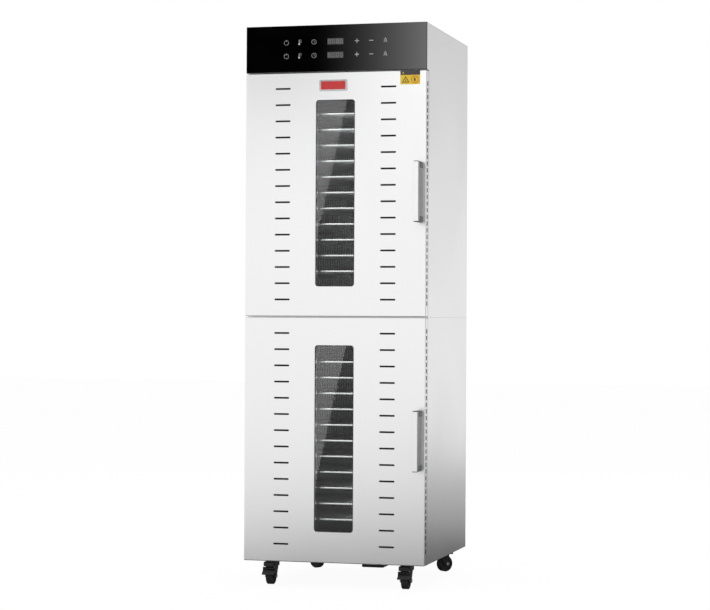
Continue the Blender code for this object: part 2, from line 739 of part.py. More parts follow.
def door_handle(module, parent):
    """A bar in front of a web, held off the door by a block at each end."""
    low = DOORS[module][0] + HANDLE_CENTRE - HANDLE_LENGTH / 2
    high = low + HANDLE_LENGTH
    right = RIGHT - HANDLE_EDGE
    left = right - HANDLE_WIDTH
    bar_front = FRONT - HANDLE_PROJECTION
    bar_back = bar_front + HANDLE_BAR_DEPTH
    foot = FRONT - GAP
    web_right = right - HANDLE_WEB_INSET
    web_left = web_right - HANDLE_WEB
    section = [(left, bar_front), (right, bar_front), (right, bar_back), (web_right, bar_back),
               (web_right, foot), (web_left, foot), (web_left, bar_back), (left, bar_back)]
    loops = [[(x, y, z) for x, y in section] for z in (low, high)]
    handle = loft(f"{module}_door_handle", loops, ALUMINIUM)
    overlap = HANDLE_BAR_DEPTH / 10
    blocks = [((left, bar_back - overlap, z), (right, foot, z + HANDLE_BLOCK))
              for z in (low, high - HANDLE_BLOCK)]
    combine(handle, box_tool(f"{module}_handle_blocks_tool", blocks), "UNION")
    from_world(handle, parent)


def door(module):
    low, high = DOORS[module]
    hinge_line = pivot(f"{module}_door_pivot", (HINGE_X, HINGE_Y, (low + high) / 2))
    door_skin(module, hinge_line)
    door_glass(module, hinge_line)
    door_liner(module, hinge_line)
    door_gasket(module, hinge_line)
    door_handle(module, hinge_line)


# Controls and mains

def control_panel():
    face = (LEFT, FRONT, FASCIA_BOTTOM)
    box("control_fascia", face, (RIGHT, FRONT + FASCIA_GLASS, TOP), BLACK_GLASS)
    near = FRONT + FASCIA_GLASS + GAP
    middle = (FASCIA_BOTTOM + TOP) / 2
    box("control_board",
        (CENTRE_X - BOARD_WIDTH / 2, near, middle - BOARD_HEIGHT / 2),
        (CENTRE_X + BOARD_WIDTH / 2, near + BOARD_DEPTH, middle + BOARD_HEIGHT / 2),
        BOARD_GREEN)


def terminal_box():
    """The mains terminal box under the base, with its cable gland at the back."""
    x, y = CENTRE_X + TERMINAL_X, (FRONT + BACK) / 2 + TERMINAL_Y
    top = BASE - GAP
    low = (x - TERMINAL_WIDTH / 2, y - TERMINAL_DEPTH / 2, top - TERMINAL_HEIGHT)
    high = (x + TERMINAL_WIDTH / 2, y + TERMINAL_DEPTH / 2, top)
    housing = box("terminal_box", low, high, BLACK_PLASTIC)
    z = (low[2] + high[2]) / 2
    ends = (high[1] - SHEET, high[1] + GLAND_LENGTH)
    loops = [circle((x, place, z), "Y", GLAND_RADIUS, 12) for place in ends]
    combine(housing, tool("gland_tool", [(loops, False)]), "UNION")


# Casters, modelled about the swivel's axis with the wheel towards local -Y

def about_axle(radius, angle):
    """The (y, z) of a point about a wheel's axle, at an angle up from the horizontal."""
    return (-TRAIL - radius * math.cos(angle), WHEEL_RADIUS + radius * math.sin(angle))


def pedal_pin_place():
    reach = WHEEL_RADIUS + PEDAL_WHEEL_GAP + PEDAL_THICKNESS / 2
    return about_axle(reach, PEDAL_PIN_ANGLE)


def caster_fork(name, swivel, braked):
    top = CASTER_HEIGHT - CASTER_PLATE - GAP
    bottom = top - CROWN_HEIGHT
    bore = KINGPIN_RADIUS + KINGPIN_CLEARANCE
    sizes = ((CROWN_RADIUS, bottom), (CROWN_RADIUS, top), (bore, top), (bore, bottom))
    loops = [circle((0, 0, z), "Z", radius, 16) for radius, z in sizes]
    fork = loft(f"{name}_caster_fork", loops, BLACK_PLASTIC, swivel, ring=True)
    inner = WHEEL_WIDTH / 2 + WHEEL_SIDE_GAP
    root = bottom + CROWN_HEIGHT / 2
    outline = [(CHEEK_ROOT, root), (-CHEEK_ROOT, root)]
    if braked:
        y, z = pedal_pin_place()
        ear = PEDAL_PIN_RADIUS + EAR
        outline += [(y, z + ear), (y - ear, z), (y, z - ear)]
    outline += [
        (-TRAIL - AXLE_LOBE, WHEEL_RADIUS + AXLE_LOBE),
        (-TRAIL - AXLE_LOBE, WHEEL_RADIUS - AXLE_LOBE),
        (-TRAIL + AXLE_LOBE, WHEEL_RADIUS - AXLE_LOBE),
        (CHEEK_ROOT, bottom - CHEEK),
    ]
    cheeks = []
    for side in (-1, 1):
        faces = [[(side * x, y, z) for y, z in outline] for x in (inner, inner + CHEEK)]
        cheeks.append((faces, False))
    combine(fork, tool(f"{name}_cheeks_tool", cheeks, swivel), "UNION")
    reach = inner + CHEEK + AXLE_HEAD
    axle = [circle((x, -TRAIL, WHEEL_RADIUS), "X", AXLE_RADIUS, 12) for x in (-reach, reach)]
    combine(fork, tool(f"{name}_axle_tool", [(axle, False)], swivel), "UNION")


def caster_wheel(name, swivel):
    axle = pivot(f"{name}_axle_pivot", (0, -TRAIL, WHEEL_RADIUS), swivel)
    half = WHEEL_WIDTH / 2
    shoulder = WHEEL_RADIUS - WHEEL_CHAMFER
    bore = AXLE_RADIUS + AXLE_CLEARANCE
    sizes = ((bore, -half), (shoulder, -half), (WHEEL_RADIUS, -half + WHEEL_CHAMFER),
             (WHEEL_RADIUS, half - WHEEL_CHAMFER), (shoulder, half), (bore, half))
    loops = [circle((x, 0, 0), "X", radius, 20) for radius, x in sizes]
    loft(f"{name}_caster_wheel", loops, GREY_RUBBER, axle, ring=True, smooth=True)


def band(half_width, first, last, steps=6):
    """Part of a tube around the wheel, between two angles about its axle, with its own thickness."""
    inner = WHEEL_RADIUS + PEDAL_WHEEL_GAP
    angles = [first + (last - first) * step / steps for step in range(steps + 1)]
    outline = [about_axle(inner, angle) for angle in angles]
    outline += [about_axle(inner + PEDAL_THICKNESS, angle) for angle in reversed(angles)]
    return [[(x, y, z) for y, z in outline] for x in (-half_width, half_width)]


def brake_pedal(name, swivel):
    """A curved shoe in front of the wheel, on a pin that sits between the ears of the fork."""
    y, z = pedal_pin_place()
    pin = pivot(f"{name}_pedal_pivot", (0, y, z), swivel)
    half_pin = WHEEL_WIDTH / 2 + WHEEL_SIDE_GAP - GAP

    def about_pin(loops):
        return [[(x, along - y, up - z) for x, along, up in loop] for loop in loops]

    loops = [circle((x, 0, 0), "X", PEDAL_PIN_RADIUS, 12) for x in (-half_pin, half_pin)]
    pedal = loft(f"{name}_brake_pedal", loops, BLACK_PLASTIC, pin)
    neck = about_pin(band(half_pin, PEDAL_PIN_ANGLE, PEDAL_NECK_ANGLE))
    combine(pedal, tool(f"{name}_pedal_neck_tool", [(neck, False)], pin), "UNION")
    shoe = about_pin(band(PEDAL_WIDTH / 2, PEDAL_SHOULDER_ANGLE, PEDAL_TIP_ANGLE))
    combine(pedal, tool(f"{name}_pedal_shoe_tool", [(shoe, False)], pin), "UNION")


def casters():
    for name, (x, y) in caster_places().items():
        swivel = pivot(f"{name}_caster_pivot", (x, y, 0), heading=math.radians(CASTER_HEADINGS[name]))
        braked = name.startswith("front")
        caster_fork(name, swivel, braked)
        caster_wheel(name, swivel)
        if braked:
            brake_pedal(name, swivel)


def build():
    clear_scene()
    lower_casing()
    upper_casing()
    back_panel()
    control_panel()
    terminal_box()
    for module in MODULES:
        chamber(module)
        for index in range(TRAY_COUNT):
            tray(module, index)
        fan_baffle(module)
        heater(module)
        fan(module, fan_motor(module))
        fixed_hinge(module)
        door(module)
    casters()


build()
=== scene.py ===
"""The looks of a two-zone food dehydrator on casters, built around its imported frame.

Metres, +Z up. The doors face -Y, their hinges are on the left (-X) and their handles on the right (+X).
"""

import json
import math

import bmesh
import bpy
from bpy.props import FloatProperty, FloatVectorProperty, IntProperty, PointerProperty
from mathutils import Matrix, Vector


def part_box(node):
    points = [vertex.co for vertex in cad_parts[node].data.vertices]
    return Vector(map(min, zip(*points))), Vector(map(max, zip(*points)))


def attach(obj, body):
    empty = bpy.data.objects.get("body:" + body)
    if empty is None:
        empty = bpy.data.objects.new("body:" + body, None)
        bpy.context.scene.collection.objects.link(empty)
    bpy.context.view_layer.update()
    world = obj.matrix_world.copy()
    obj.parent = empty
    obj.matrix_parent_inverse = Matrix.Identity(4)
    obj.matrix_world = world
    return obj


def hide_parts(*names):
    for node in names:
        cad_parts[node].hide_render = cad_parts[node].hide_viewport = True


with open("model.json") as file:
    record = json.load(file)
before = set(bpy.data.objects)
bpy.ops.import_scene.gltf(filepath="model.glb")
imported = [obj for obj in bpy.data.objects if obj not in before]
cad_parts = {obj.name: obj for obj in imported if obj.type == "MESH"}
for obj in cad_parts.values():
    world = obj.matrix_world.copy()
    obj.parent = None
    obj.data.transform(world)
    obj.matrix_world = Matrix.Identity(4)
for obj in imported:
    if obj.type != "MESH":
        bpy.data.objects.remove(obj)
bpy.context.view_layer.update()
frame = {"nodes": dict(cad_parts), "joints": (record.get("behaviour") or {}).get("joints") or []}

bl_info = {
    "name": "Food Dehydrator",
    "version": (1, 0, 0),
    "blender": (4, 5, 0),
    "location": "View3D > Sidebar > Dehydrator",
    "description": "Builds the finished pieces of a two-zone food dehydrator around its frame",
    "category": "Add Mesh",
}

# Places that come from the frame
LEFT, FRONT, FASCIA_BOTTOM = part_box("control_fascia")[0]
RIGHT, FASCIA_BACK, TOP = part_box("control_fascia")[1]
MIDDLE = (LEFT + RIGHT) / 2
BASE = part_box("back_panel")[0].z
PANEL_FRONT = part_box("back_panel")[0].y
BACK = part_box("back_panel")[1].y
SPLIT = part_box("upper_casing")[0].z
CABINET_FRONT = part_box("lower_casing")[0].y
DOOR_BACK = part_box("lower_door_liner")[1].y
GAP = 0.0003
MODULES = ("lower", "upper")
CORNERS = ("front_left", "front_right", "rear_left", "rear_right")
BRAKED = CORNERS[:2]
JOINTS = {joint["name"]: joint for joint in frame["joints"]}
TRAYS = sorted(name for name in frame["nodes"] if "_tray_" in name)


def length(title, about, default):
    return FloatProperty(name=title, description=about, default=default, min=0.0, unit="LENGTH", precision=5)


def angle(title, about, degrees):
    return FloatProperty(name=title, description=about, default=math.radians(degrees), unit="ROTATION")


def colour(title, about, default):
    return FloatVectorProperty(name=title, description=about, default=default, size=3,
                               min=0.0, max=1.0, subtype="COLOR")


def number(title, about, default):
    return FloatProperty(name=title, description=about, default=default, min=0.0)


def count(title, about, default):
    return IntProperty(name=title, description=about, default=default, min=1)


# Settings

class CabinetSettings(bpy.types.PropertyGroup):
    sheet: length("Sheet", "Thickness of the steel sheet", 0.0012)
    bend: length("Bend", "Outer radius of a folded edge", 0.0022)
    louvre_length: length("Louvre Length", "Length of a louvre in the back panel", 0.160)
    louvre_height: length("Louvre Height", "Height of a louvre's opening", 0.005)
    louvre_pitch: length("Louvre Pitch", "Distance between louvres", 0.014)
    louvre_drop: length("Louvre Drop", "From a fan's axis down to its first louvre", 0.100)
    louvres: count("Louvres", "Number of louvres below each fan", 8)
    hood: length("Louvre Hood", "How far a louvre's hood stands proud", 0.004)
    screw: length("Screw", "Radius of a screw's head", 0.0042)
    screw_inset: length("Screw Inset", "From the panel's edge to its screws", 0.010)
    screw_rows: count("Screw Rows", "Screws up each side of the back panel", 9)


class DoorSettings(bpy.types.PropertyGroup):
    bend: length("Bend", "Outer radius of the door's folded edges", 0.0026)
    vent_length: length("Vent Length", "Length of a vent slot", 0.047)
    vent_height: length("Vent Height", "Height of a vent slot", 0.0055)
    vent_pitch: length("Vent Pitch", "Distance between rows of vents", 0.0484)
    vent_spread: length("Vent Spread", "From the door's middle to a column of vents", 0.1625)
    vent_first: length("First Vent", "From the door's lower edge to the first row", 0.0502)
    vent_rows: count("Vent Rows", "Rows of vents", 14)
    glass_lap: length("Glass Lap", "How far the pane reaches behind the sheet", 0.010)
    trim: length("Window Trim", "Width of the trim inside a window's opening", 0.0020)
    window_corner: length("Window Corner", "Radius of the window's corners", 0.009)
    edge_vent_height: length("Edge Vent Height", "Height of a vent in the door's edge", 0.0135)
    edge_vent_depth: length("Edge Vent Depth", "Width of a vent in the door's edge", 0.012)
    edge_vent_pitch: length("Edge Vent Pitch", "Distance between the edge's vents", 0.0196)
    edge_vent_margin: length("Edge Vent Margin", "Least distance from a vent to the door's end", 0.022)
    knuckles: count("Knuckles", "Knuckles of a door's hinge", 9)
    knuckle_gap: length("Knuckle Gap", "Clearance between knuckles", 0.0006)
    barrel: length("Barrel", "Radius of the hinge's barrel", 0.003)
    pin: length("Pin", "Radius of the hinge's pin", 0.0015)
    leaf: length("Leaf", "Thickness of a hinge leaf", 0.0015)
    leaf_width: length("Leaf Width", "Width of a hinge leaf from the pin", 0.022)


class HandleSettings(bpy.types.PropertyGroup):
    bar_depth: length("Bar Depth", "Depth of the handle's bar", 0.025)
    face: length("Face", "Thickness of the bar's bright front strip", 0.0034)
    step: length("Step", "From the front strip's sides in to the bar's sides", 0.0007)
    edge: length("Edge Radius", "Radius of the bar's edges", 0.0016)
    web: length("Web", "Thickness of the web behind the bar", 0.0025)
    web_inset: length("Web Inset", "From the bar's right side to the web", 0.0015)
    block: length("End Block", "Height of an end block", 0.018)
    cap: length("End Cap", "Thickness of the caps on the bar's ends", 0.0022)
    groove: length("Groove", "Width of the shadow groove between bar and web", 0.0016)


class TraySettings(bpy.types.PropertyGroup):
    rim: length("Rim", "Width of a tray's rim", 0.006)
    corner: length("Corner", "Radius of a tray's corners", 0.010)
    wire: length("Wire", "Radius of the mesh's wires", 0.00055)
    pitch: length("Mesh Pitch", "Distance between the mesh's wires", 0.0062)
    brace: length("Brace", "Radius of the two braces under the mesh", 0.0012)


class ControlSettings(bpy.types.PropertyGroup):
    edge: length("Glass Edge", "Radius of the fascia's edges", 0.0012)
    upper_row: length("Upper Row", "From the fascia's lower edge to the upper row of marks", 0.0890)
    row_drop: length("Row Drop", "From the upper row down to the lower row", 0.0404)
    mark: length("Mark", "Radius of a round mark", 0.0072)
    stroke: length("Stroke", "Width of the marks' lines", 0.0012)
    proud: length("Print", "Thickness of the printed marks", 0.0002)
    display_width: length("Display Width", "Width of a display", 0.049)
    display_height: length("Display Height", "Height of a display", 0.018)
    digits: count("Digits", "Digits in a display", 4)


class BadgeSettings(bpy.types.PropertyGroup):
    left: FloatProperty(name="Badge Left", description="Badge's left side from the middle", default=-0.0500,
                        unit="LENGTH")
    width: length("Badge Width", "Width of the badge", 0.0865)
    height: length("Badge Height", "Height of the badge", 0.0335)
    border: length("Badge Border", "Width of the badge's frame", 0.0052)
    drop: length("Badge Drop", "From the door's upper edge to the badge", 0.0220)
    label_width: length("Label Width", "Width of the pictogram label", 0.060)
    label_height: length("Label Height", "Height of the pictogram label", 0.040)
    label_edge: length("Label Edge", "From the door's right side to the label", 0.0200)
    label_drop: length("Label Drop", "From the door's upper edge to the label", 0.0010)
    band: number("Label Band", "Share of the label's height that its dark band takes", 0.31)
    sign: length("Sign", "Radius of the label's triangle", 0.0130)
    sign_inside: length("Sign Inside", "Radius of the triangle's opening", 0.0086)
    ring: length("Ring", "Radius of the label's ring", 0.0112)
    ring_inside: length("Ring Inside", "Radius of the ring's opening", 0.0090)
    tick: length("Tick", "Radius of the small triangle in the band", 0.0034)


class CasterSettings(bpy.types.PropertyGroup):
    wheel: length("Wheel", "Radius of a wheel", 0.025)
    tread: length("Tread", "Width of a wheel", 0.021)
    cheek_gap: length("Cheek Gap", "From a wheel's side to the fork", 0.0020)
    cheek: length("Cheek", "Thickness of a fork's cheek", 0.0025)
    trail: length("Trail", "From the swivel's axis to the axle", 0.018)
    crown: length("Crown", "Radius of the fork's crown", 0.020)
    hood: length("Hood", "How far the fork's hood stands out past its cheeks", 0.0035)
    hood_front: length("Hood Front", "How far the fork's hood reaches in front of the axle", 0.0235)
    plate_width: length("Plate Width", "Width of a caster's top plate", 0.043)
    plate_length: length("Plate Length", "Length of a caster's top plate", 0.056)
    plate: length("Plate", "Thickness of a caster's top plate", 0.0025)
    pedal_width: length("Pedal Width", "Width of a brake pedal", 0.038)
    pedal: length("Pedal", "Thickness of a brake pedal", 0.003)
    pedal_gap: length("Pedal Gap", "From the tread to a brake pedal", 0.0035)
    rib: length("Rib", "How far a pedal's ribs stand proud", 0.0040)


class FinishSettings(bpy.types.PropertyGroup):
    steel: colour("Steel", "Colour of the satin stainless sheet", (0.86, 0.86, 0.865))
    bright: colour("Bright Steel", "Colour of the trays and chambers", (0.80, 0.80, 0.81))
    zinc: colour("Zinc", "Colour of zinc-plated pieces", (0.60, 0.62, 0.63))
    sheath: colour("Sheath", "Colour of the heaters", (0.33, 0.30, 0.28))
    aluminium: colour("Aluminium", "Colour of the handles", (0.82, 0.82, 0.83))
    # Painted shade: a darker copy of the handles' aluminium, for the bar's sides and the web, which lie in shade
    grey_aluminium: colour("Grey Aluminium", "Colour of the handles' sides", (0.21, 0.21, 0.215))
    chrome: colour("Frame Chrome", "Colour of the badge's frame", (0.56, 0.56, 0.57))
    black_glass: colour("Black Glass", "Colour behind the fascia's glass", (0.0008, 0.0008, 0.001))
    silicone: colour("Silicone", "Colour of the door seals", (0.30, 0.30, 0.31))
    plastic: colour("Black Plastic", "Colour of the moulded plastic", (0.008, 0.008, 0.0085))
    rubber: colour("Tread Rubber", "Colour of the wheels' treads", (0.012, 0.012, 0.013))
    board: colour("Board", "Colour of the control board", (0.02, 0.14, 0.06))
    print_grey: colour("Print", "Colour of the touch marks", (0.70, 0.70, 0.71))
    display: colour("Display", "Colour of the displays", (0.075, 0.075, 0.078))
    segment: colour("Segment", "Colour of the displays' unlit segments", (0.16, 0.16, 0.165))
    red: colour("Enamel", "Colour of the badge's field", (0.62, 0.03, 0.03))
    yellow: colour("Yellow Film", "Colour of the label's field", (0.80, 0.56, 0.02))


class StageSettings(bpy.types.PropertyGroup):
    lens: number("Lens", "Focal length for a 36 mm sensor", 108.6)
    eye_right: number("Eye Right", "Camera's place to the right of the object's middle", 1.6958)
    eye_front: number("Eye Front", "Camera's place in front of the object's middle", 6.3878)
    eye_height: number("Eye Height", "Camera's height", 0.8003)
    turn: angle("Turn", "Camera's turn to the left", 14.89)
    pitch: angle("Pitch", "Camera's tilt up", 0.374)
    roll: angle("Roll", "Camera's roll", 0.2855)
    floor: colour("Floor", "Colour of the floor", (0.62, 0.62, 0.62))
    floor_glow: number("Floor Glow", "Brightness of the floor's own light", 1.055)
    floor_share: number("Floor Share", "Share of the floor's own light that the camera sees", 0.90)
    ambient: number("Ambient", "Strength of the studio's even light", 0.62)
    wall_front: number("Front Wall", "Brightness of the studio in front, as metal reflects it", 1.20)
    wall_right: number("Right Panel", "Brightness of the studio's dark panel on the right", 0.32)
    wall_back: number("Back Wall", "Brightness of the studio behind, as metal reflects it", 1.02)
    spot_right: FloatProperty(name="Dark Spot Right", description="Middle of the floor's dark spot", default=0.85,
                              unit="LENGTH")
    spot_back: FloatProperty(name="Dark Spot Back", description="Middle of the floor's dark spot", default=-0.3,
                             unit="LENGTH")
    spot_inner: length("Dark Spot Inner", "Radius within which the spot is darkest", 0.95)
    spot_outer: length("Dark Spot Outer", "Radius beyond which the floor is white", 2.7)
    spot_tone: number("Dark Spot Tone", "Brightness of the spot, as metal reflects it", 0.17)
    shade_right: length("Rear Shade Right", "Middle of the second spot, behind the object", 1.2)
    shade_back: length("Rear Shade Back", "Middle of the second spot, behind the object", 2.4)
    shade_inner: length("Rear Shade Inner", "Radius within which the second spot is darkest", 1.4)
    shade_outer: length("Rear Shade Outer", "Radius beyond which the floor is white", 3.8)
    shade_tone: number("Rear Shade Tone", "Brightness of the second spot, as metal reflects it", 0.40)
    fascia_card: number("Fascia Card", "Brightness of the fascia's reflection at its right end", 3.4)
    window_card: number("Window Card", "Brightness of the windows' gleam", 5.5)
    fascia_away: length("Fascia Card Distance", "From the doors' faces to the fascia's card", 2.0)
    window_away: length("Window Card Distance", "From the doors' faces to the windows' cards", 1.5)


# Modelling helpers

def deselect():
    bpy.ops.object.select_all(action="DESELECT")


def pick(*pieces):
    """Selects only these pieces and makes the first one active."""
    deselect()
    for piece in pieces:
        piece.select_set(True)
    bpy.context.view_layer.objects.active = pieces[0]
    return pieces[0]


def settled(name):
    """The new primitive, named, with its place in its mesh."""
    made = bpy.context.object
    made.name = name
    made.data.name = name
    bpy.ops.object.transform_apply(location=True, rotation=True, scale=True)
    return made


def block(name, low, high):
    """A box between two corners."""
    low, high = Vector(low), Vector(high)
    deselect()
    bpy.ops.mesh.primitive_cube_add(size=1, location=(low + high) / 2, scale=high - low)
    return settled(name)


def rod(name, start, end, radius, sides=24):
    """A cylinder from one point to another."""
    start, end = Vector(start), Vector(end)
    run = end - start
    deselect()
    bpy.ops.mesh.primitive_cylinder_add(vertices=sides, radius=radius, depth=run.length,
                                        location=(start + end) / 2,
                                        rotation=run.to_track_quat("Z", "Y").to_euler())
    return settled(name)


def edit(piece, kind, chosen):
    """Edit mode, with the chosen faces or edges selected."""
    pick(piece)
    bpy.ops.object.mode_set(mode="EDIT")
    bpy.ops.mesh.select_mode(type=kind)
    bpy.ops.mesh.select_all(action="DESELECT")
    shape = bmesh.from_edit_mesh(piece.data)
    for part in (shape.faces if kind == "FACE" else shape.edges):
        if chosen(part):
            part.select_set(True)
    bmesh.update_edit_mesh(piece.data)


def leave_edit():
    bpy.ops.object.mode_set(mode="OBJECT")


def runs_along(axis):
    """Picks the edges that run along an axis."""
    index = "XYZ".index(axis)

    def chosen(edge):
        run = edge.verts[1].co - edge.verts[0].co
        return abs(run[index]) > 0.999 * run.length
    return chosen


def lies_at(axis, place, within=1e-5):
    """Picks the faces or edges whose corners all lie on a plane."""
    index = "XYZ".index(axis)
    return lambda part: all(abs(corner.co[index] - place) < within for corner in part.verts)


def round_edges(piece, chosen, radius, segments=3):
    edit(piece, "EDGE", chosen)
    bpy.ops.mesh.bevel(offset=radius, segments=segments, affect="EDGES")
    leave_edit()
    return piece


def round_all(piece, radius, segments=2):
    return round_edges(piece, lambda edge: True, radius, segments)


def delete_faces(piece, chosen):
    edit(piece, "FACE", chosen)
    bpy.ops.mesh.delete(type="FACE")
    leave_edit()


def apply_step(piece, kind, **values):
    """Adds a modifier with these values and applies it."""
    pick(piece)
    step = piece.modifiers.new(kind.title(), kind)
    for key, value in values.items():
        setattr(step, key, value)
    bpy.ops.object.modifier_apply(modifier=step.name)
    return piece


def cut(piece, *cutters):
    for cutter in cutters:
        apply_step(piece, "BOOLEAN", operation="DIFFERENCE", solver="EXACT", object=cutter)
        bpy.data.objects.remove(cutter)
    return piece


def row(piece, number_of, step):
    """The piece repeated in a row."""
    return apply_step(piece, "ARRAY", count=number_of, use_relative_offset=False,
                      use_constant_offset=True, constant_offset_displace=step)


def joined(name, pieces):
    pick(*pieces)
    if len(pieces) > 1:
        bpy.ops.object.join()
    made = bpy.context.object
    made.name = name
    made.data.name = name
    return made


def copied(piece, name, move=(0, 0, 0), matrix=None):
    """A copy with its own mesh, moved in its mesh."""
    made = piece.copy()
    made.data = piece.data.copy()
    made.name = name
    made.data.name = name
    bpy.context.scene.collection.objects.link(made)
    made.data.transform(matrix or Matrix.Translation(Vector(move)))
    return made


def smooth(piece, degrees=32):
    pick(piece)
    bpy.ops.object.shade_smooth_by_angle(angle=math.radians(degrees))
    return piece


def dress(piece, finish, body, slot=None, replaces=()):
    """Gives a finished piece its material and its body; the slot it is given is not used."""
    piece.data.materials.clear()
    piece.data.materials.append(finish)
    smooth(piece)
    apply_step(piece, "WEIGHTED_NORMAL", mode="FACE_AREA", weight=100, keep_sharp=True)
    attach(piece, body)
    if replaces:
        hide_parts(*replaces)
    return piece


def rounded_plate(name, low, high, radius, axis="Y", segments=5):
    """A plate whose corners, seen along an axis, are rounded."""
    return round_edges(block(name, low, high), runs_along(axis), radius, segments)


def screw_head(name, place, radius, outward):
    """A pan head with a cross recess, on a face that looks outward along Y."""
    x, y, z = place
    tall = radius * 0.45
    head = rod(name, (x, y, z), (x, y + outward * tall, z), radius, 20)
    round_edges(head, lies_at("Y", y + outward * tall), tall * 0.75, 3)
    arm, reach = radius * 0.13, radius * 0.62
    deep = y + outward * tall * 0.45
    far = y + outward * tall * 1.5
    lo, hi = sorted((deep, far))
    cut(head, block("recess", (x - reach, lo, z - arm), (x + reach, hi, z + arm)))
    cut(head, block("recess", (x - arm, lo, z - reach), (x + arm, hi, z + reach)))
    return head


def screws(name, places, radius, outward):
    """Screws at several places, copied from one head."""
    first = screw_head(name, places[0], radius, outward)
    others = [copied(first, name, Vector(place) - Vector(places[0])) for place in places[1:]]
    return joined(name, [first] + others)


# Material helpers

def linked(tree, socket, value):
    """Feeds a socket from another socket, or else sets it to a value."""
    if isinstance(value, bpy.types.NodeSocket):
        tree.links.new(value, socket)
    else:
        socket.default_value = value


def new_group(name, inputs, outputs):
    made = bpy.data.node_groups.new(name, "ShaderNodeTree")
    for title, kind, default in inputs:
        socket = made.interface.new_socket(title, in_out="INPUT", socket_type=kind)
        if default is not None:
            socket.default_value = default
    for title, kind in outputs:
        made.interface.new_socket(title, in_out="OUTPUT", socket_type=kind)
    return made, made.nodes.new("NodeGroupInput"), made.nodes.new("NodeGroupOutput")


def mixed(tree, factor, first, second):
    """A colour mix; each argument is a socket or a value."""
    node = tree.nodes.new("ShaderNodeMix")
    node.data_type = "RGBA"
    linked(tree, node.inputs["Factor"], factor)
    for socket, value in ((node.inputs[6], first), (node.inputs[7], second)):
        linked(tree, socket, value if isinstance(value, bpy.types.NodeSocket) else (*value, 1.0))
    return node.outputs[2]


def scaled(tree, value, low, high, start=0.0, end=1.0):
    """The value's range from start to end, mapped to low to high; low and high may be sockets."""
    node = tree.nodes.new("ShaderNodeMapRange")
    for title, part in (("Value", value), ("From Min", start), ("From Max", end), ("To Min", low), ("To Max", high)):
        linked(tree, node.inputs[title], part)
    return node.outputs["Result"]


def maths(tree, operation, *values):
    """A sum on sockets and numbers."""
    node = tree.nodes.new("ShaderNodeMath")
    node.operation = operation
    for socket, value in zip(node.inputs, values):
        linked(tree, socket, value)
    return node.outputs["Value"]


def object_place(tree):
    return tree.nodes.new("ShaderNodeTexCoord").outputs["Object"]


def noise(tree, coordinates, stretch, detail=3.0):
    """Noise on stretched coordinates; stretch is a vector or a socket."""
    mapping = tree.nodes.new("ShaderNodeMapping")
    tree.links.new(coordinates, mapping.inputs["Vector"])
    linked(tree, mapping.inputs["Scale"], stretch)
    texture = tree.nodes.new("ShaderNodeTexNoise")
    texture.inputs["Scale"].default_value = 1.0
    texture.inputs["Detail"].default_value = detail
    tree.links.new(mapping.outputs["Vector"], texture.inputs["Vector"])
    return texture.outputs["Fac"]


def grain_group():
    """Brushed metal: fine lines, slow clouds in the tone, and a height for the bump."""
    name = "Brushed Grain"
    if name in bpy.data.node_groups:
        return bpy.data.node_groups[name]
    made, given, wanted = new_group(
        name,
        [("Stretch", "NodeSocketVector", (700.0, 700.0, 9.0)), ("Light", "NodeSocketColor", None),
         ("Dark", "NodeSocketColor", None), ("Smooth", "NodeSocketFloat", 0.25), ("Rough", "NodeSocketFloat", 0.4)],
        [("Colour", "NodeSocketColor"), ("Roughness", "NodeSocketFloat"), ("Height", "NodeSocketFloat")],
    )
    place = object_place(made)
    lines = noise(made, place, given.outputs["Stretch"], 4.0)
    clouds = noise(made, place, (3.1, 3.1, 2.3), 2.0)
    tone = maths(made, "MULTIPLY_ADD", lines, 0.45, scaled(made, clouds, 0.0, 0.55))
    made.links.new(mixed(made, tone, given.outputs["Dark"], given.outputs["Light"]), wanted.inputs["Colour"])
    rough = scaled(made, tone, given.outputs["Smooth"], given.outputs["Rough"], 0.25, 0.75)
    made.links.new(rough, wanted.inputs["Roughness"])
    made.links.new(lines, wanted.inputs["Height"])
    return made


def moulding_group():
    """Moulded plastic and rubber: a fine spark-eroded texture with worn, greyer patches."""
    name = "Moulded Texture"
    if name in bpy.data.node_groups:
        return bpy.data.node_groups[name]
    made, given, wanted = new_group(
        name,
        [("Scale", "NodeSocketFloat", 900.0), ("Base", "NodeSocketColor", None),
         ("Worn", "NodeSocketColor", None), ("Smooth", "NodeSocketFloat", 0.4), ("Rough", "NodeSocketFloat", 0.6)],
        [("Colour", "NodeSocketColor"), ("Roughness", "NodeSocketFloat"), ("Height", "NodeSocketFloat")],
    )
    place = object_place(made)
    texture = made.nodes.new("ShaderNodeTexNoise")
    texture.inputs["Detail"].default_value = 2.0
    made.links.new(place, texture.inputs["Vector"])
    made.links.new(given.outputs["Scale"], texture.inputs["Scale"])
    patches = noise(made, place, (38.0, 38.0, 38.0), 4.0)
    worn = scaled(made, patches, 0.0, 1.0, 0.45, 0.72)
    made.links.new(mixed(made, worn, given.outputs["Base"], given.outputs["Worn"]), wanted.inputs["Colour"])
    rough = scaled(made, patches, given.outputs["Smooth"], given.outputs["Rough"], 0.3, 0.7)
    made.links.new(rough, wanted.inputs["Roughness"])
    made.links.new(texture.outputs["Fac"], wanted.inputs["Height"])
    return made


def handling_group():
    """Faint wipe marks: a mask for glass and glossy paint."""
    name = "Wipe Marks"
    if name in bpy.data.node_groups:
        return bpy.data.node_groups[name]
    made, given, wanted = new_group(
        name,
        [("Smooth", "NodeSocketFloat", 0.03), ("Rough", "NodeSocketFloat", 0.10)],
        [("Roughness", "NodeSocketFloat"), ("Mask", "NodeSocketFloat")],
    )
    place = object_place(made)
    swirls = noise(made, place, (9.0, 9.0, 21.0), 5.0)
    mask = scaled(made, swirls, 0.0, 1.0, 0.42, 0.75)
    made.links.new(mask, wanted.inputs["Mask"])
    rough = scaled(made, mask, given.outputs["Smooth"], given.outputs["Rough"])
    made.links.new(rough, wanted.inputs["Roughness"])
    return made


